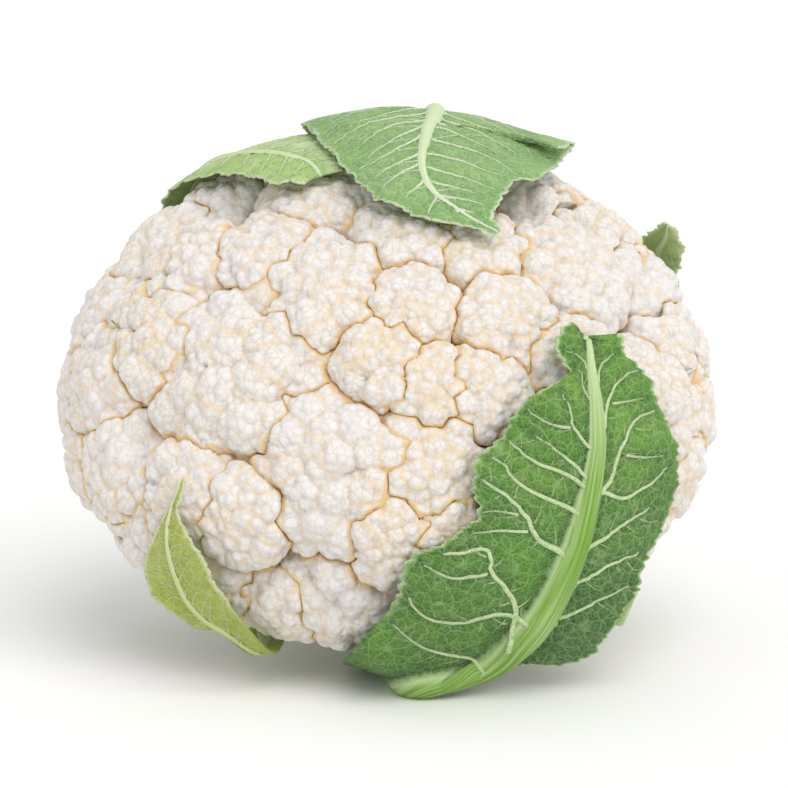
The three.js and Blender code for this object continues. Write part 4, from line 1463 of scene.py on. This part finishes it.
# The leaf beside it, over the upper left.
light_skin = leaf_skin("light_green_leaf", {
    "blade": (0.35, 0.54, 0.13), "bright": (0.55, 0.67, 0.36), "low": (0.28, 0.48, 0.12),
    "left": (0.63, 0.71, 0.44), "vein": (0.66, 0.76, 0.48), "rib": (0.56, 0.68, 0.36),
})
TOP_LEFT_ROWS = [
    *from_neck(-140, width=6, height=15),
    [-140, 138, 6, 6, 6, 5, 5], [-140, 116, 2, 9, 9, 2, 2],
    [-140, 99, 2, 15, 14, 1.6, 1.6], [-140, 82, 2, 20, 11, 1.6, 1.6], [-140, 66, 2, 21, 12, 1.6, 1.6],
    [-142, 53, 1.5, 20, 12, 1.2, 1.2], [-145, 41, 1.5, 18, 12, 1.2, 1.2],
    [-147, 31, 1.5, 12, 11, 1.2, 1.2], [-144, 25, 1.5, 5, 5, 1.2, 1.2],
]
BACK_SHAPE = {
    "rows": 120, "columns": 42, "hidden_share": 0.3, "shown_row": 5,
    "tooth": 1.3, "tooth_length": 2.4, "notch": 0.6, "toothed_row": 4, "twig_length": 4,
    "crinkle": 0.7, "crinkle_length": 9, "quilt": 0.45, "vein_spacing": 9, "vein_width": 0.9,
    "rib_at": [0, 0.3, 0.6, 0.8, 1], "rib_half": [6.0, 3.6, 1.8, 1.1, 0.4],
}
leaf_piece("leaf_top_left", TOP_LEFT_ROWS, [], BACK_SHAPE, light_skin, 34)

# The leaves behind: one up the right side, one low on the right, and one low on the left.
BACK_RIGHT_ROWS = [
    *from_neck(120, width=6, height=16),
    [120, 138, 6, 6, 6, 5, 5], [120, 116, 2.5, 9, 9, 2, 2],
    [122, 102, 2.5, 16, 16, 2, 2], [123, 92, 2.5, 12, 15, 2, 2], [122, 84, 3, 8, 6, 3, 2.4],
    [119, 77, 4.5, 5, 3, 5.5, 4], [117, 72, 6, 1.5, 1, 7, 6],
]
leaf_piece("leaf_back_right", BACK_RIGHT_ROWS, [],
           {**BACK_SHAPE, "rows": 100, "columns": 38, "shown_row": 4, "toothed_row": 3.5}, light_skin, 35)
LOW_RIGHT_HIDDEN = [
    *from_neck(58, width=5, height=15),
    [58, 140, 6, 6, 6, 5, 5], [56, 124, 3, 8, 7, 2, 2],
]
LOW_RIGHT_SEEN = [
    [(55.1, -53.5, 2), (57.8, -46.7, 2), (57.2, -60.2, 3)],
    [(61.0, -54.3, 2.5), (63.7, -50.2, 2), (61.0, -60.5, 4)],
    [(65.1, -53.5, 3), (67.0, -50.8, 3), (64.8, -58.3, 4)],
    [(67.5, -51.6, 3.5), (67.8, -50.5, 3), (67.2, -52.9, 4)],
]
leaf_piece("leaf_low_right", LOW_RIGHT_HIDDEN, LOW_RIGHT_SEEN,
           {**BACK_SHAPE, "rows": 70, "columns": 32, "shown_row": 3, "toothed_row": 4}, light_skin, 36)
BACK_LEFT_ROWS = [
    *from_neck(-92, width=5, height=15),
    [-92, 140, 6, 6, 6, 5, 5], [-90, 124, 2, 10, 10, 1.6, 1.6],
    [-86, 113, 2, 15, 15, 1.6, 1.6], [-80, 105, 2, 12, 12, 1.6, 1.6], [-76, 100, 2, 3, 3, 1.6, 1.6],
]
leaf_piece("leaf_back_left", BACK_LEFT_ROWS, [],
           {**BACK_SHAPE, "rows": 70, "columns": 34, "shown_row": 3, "toothed_row": 3}, deep_skin, 37)

# ---- The floor, the light and the camera ---------------------------------------------------------
# A plain pale floor, and soft light from a large panel over the front and from all round.

FLOOR_HALF = 12.0
FLOOR_WHITE = (0.96, 0.96, 0.955)
FLOOR_ROUGHNESS = 0.9

floor_mesh = bpy.data.meshes.new("floor")
floor_mesh.from_pydata([(-FLOOR_HALF, -FLOOR_HALF, 0), (FLOOR_HALF, -FLOOR_HALF, 0),
                        (FLOOR_HALF, FLOOR_HALF, 0), (-FLOOR_HALF, FLOOR_HALF, 0)], [], [(0, 1, 2, 3)])
floor = bpy.data.objects.new("floor", floor_mesh)
bpy.context.scene.collection.objects.link(floor)
floor_paint = bpy.data.materials.new("floor_paint")
floor_paint.use_nodes = True
floor_shader = floor_paint.node_tree.nodes["Principled BSDF"]
floor_shader.inputs["Base Color"].default_value = (*FLOOR_WHITE, 1)
floor_shader.inputs["Roughness"].default_value = FLOOR_ROUGHNESS
floor.data.materials.append(floor_paint)

# The light from all round, and the panel's own: how wide it looks from the curd, its strength and
# colour, and the way to it.
ROUND_STRENGTH = 0.76
PANEL_WIDTH = math.radians(50)
PANEL_STRENGTH = 1.45
PANEL_COLOUR = (1.0, 0.985, 0.96)
TO_PANEL = np.array([0.45, -0.85, 1.15])

world = bpy.data.worlds.new("studio")
bpy.context.scene.world = world
world.use_nodes = True
world.node_tree.nodes["Background"].inputs["Color"].default_value = (1.0, 1.0, 1.0, 1)
world.node_tree.nodes["Background"].inputs["Strength"].default_value = ROUND_STRENGTH


def placed(axes, place):
    """The matrix of an object whose own axes are these columns, at a place in metres."""
    matrix = np.eye(4)
    matrix[:3, :3] = axes
    matrix[:3, 3] = place
    return Matrix(matrix.tolist())


panel_light = bpy.data.lights.new("key_light", "SUN")
panel_light.angle = PANEL_WIDTH
panel_light.energy = PANEL_STRENGTH
panel_light.color = PANEL_COLOUR
panel = bpy.data.objects.new("key_light", panel_light)
bpy.context.scene.collection.objects.link(panel)
panel.matrix_world = placed(basis_about(unit(TO_PANEL)).T, (0, 0, 1))

# The view: its width in millimetres at the curd's centre, how far to the right of that centre and
# above it the view's own centre is, and how many metres it goes back.
VIEW_WIDTH = 212.76
AIM_OFFSET = 2.16
FARTHEST_SEEN = 100

camera_data = bpy.data.cameras.new("camera")
camera_data.angle = 2 * math.atan(VIEW_WIDTH / 2 / EYE_DISTANCE)
camera_data.clip_end = FARTHEST_SEEN
camera = bpy.data.objects.new("camera", camera_data)
bpy.context.scene.collection.objects.link(camera)
aim = HEAD_CENTRE + AIM_OFFSET * ACROSS + AIM_OFFSET * UPWARD
view_axis = unit(EYE - aim)
camera_right = unit(np.cross(np.array([0.0, 0.0, 1.0]), view_axis))
camera_axes = np.stack([camera_right, np.cross(view_axis, camera_right), view_axis], axis=1)
camera.matrix_world = placed(camera_axes, EYE * MILLIMETRE)
bpy.context.scene.camera = camera
bpy.context.scene.view_settings.view_transform = "Standard"
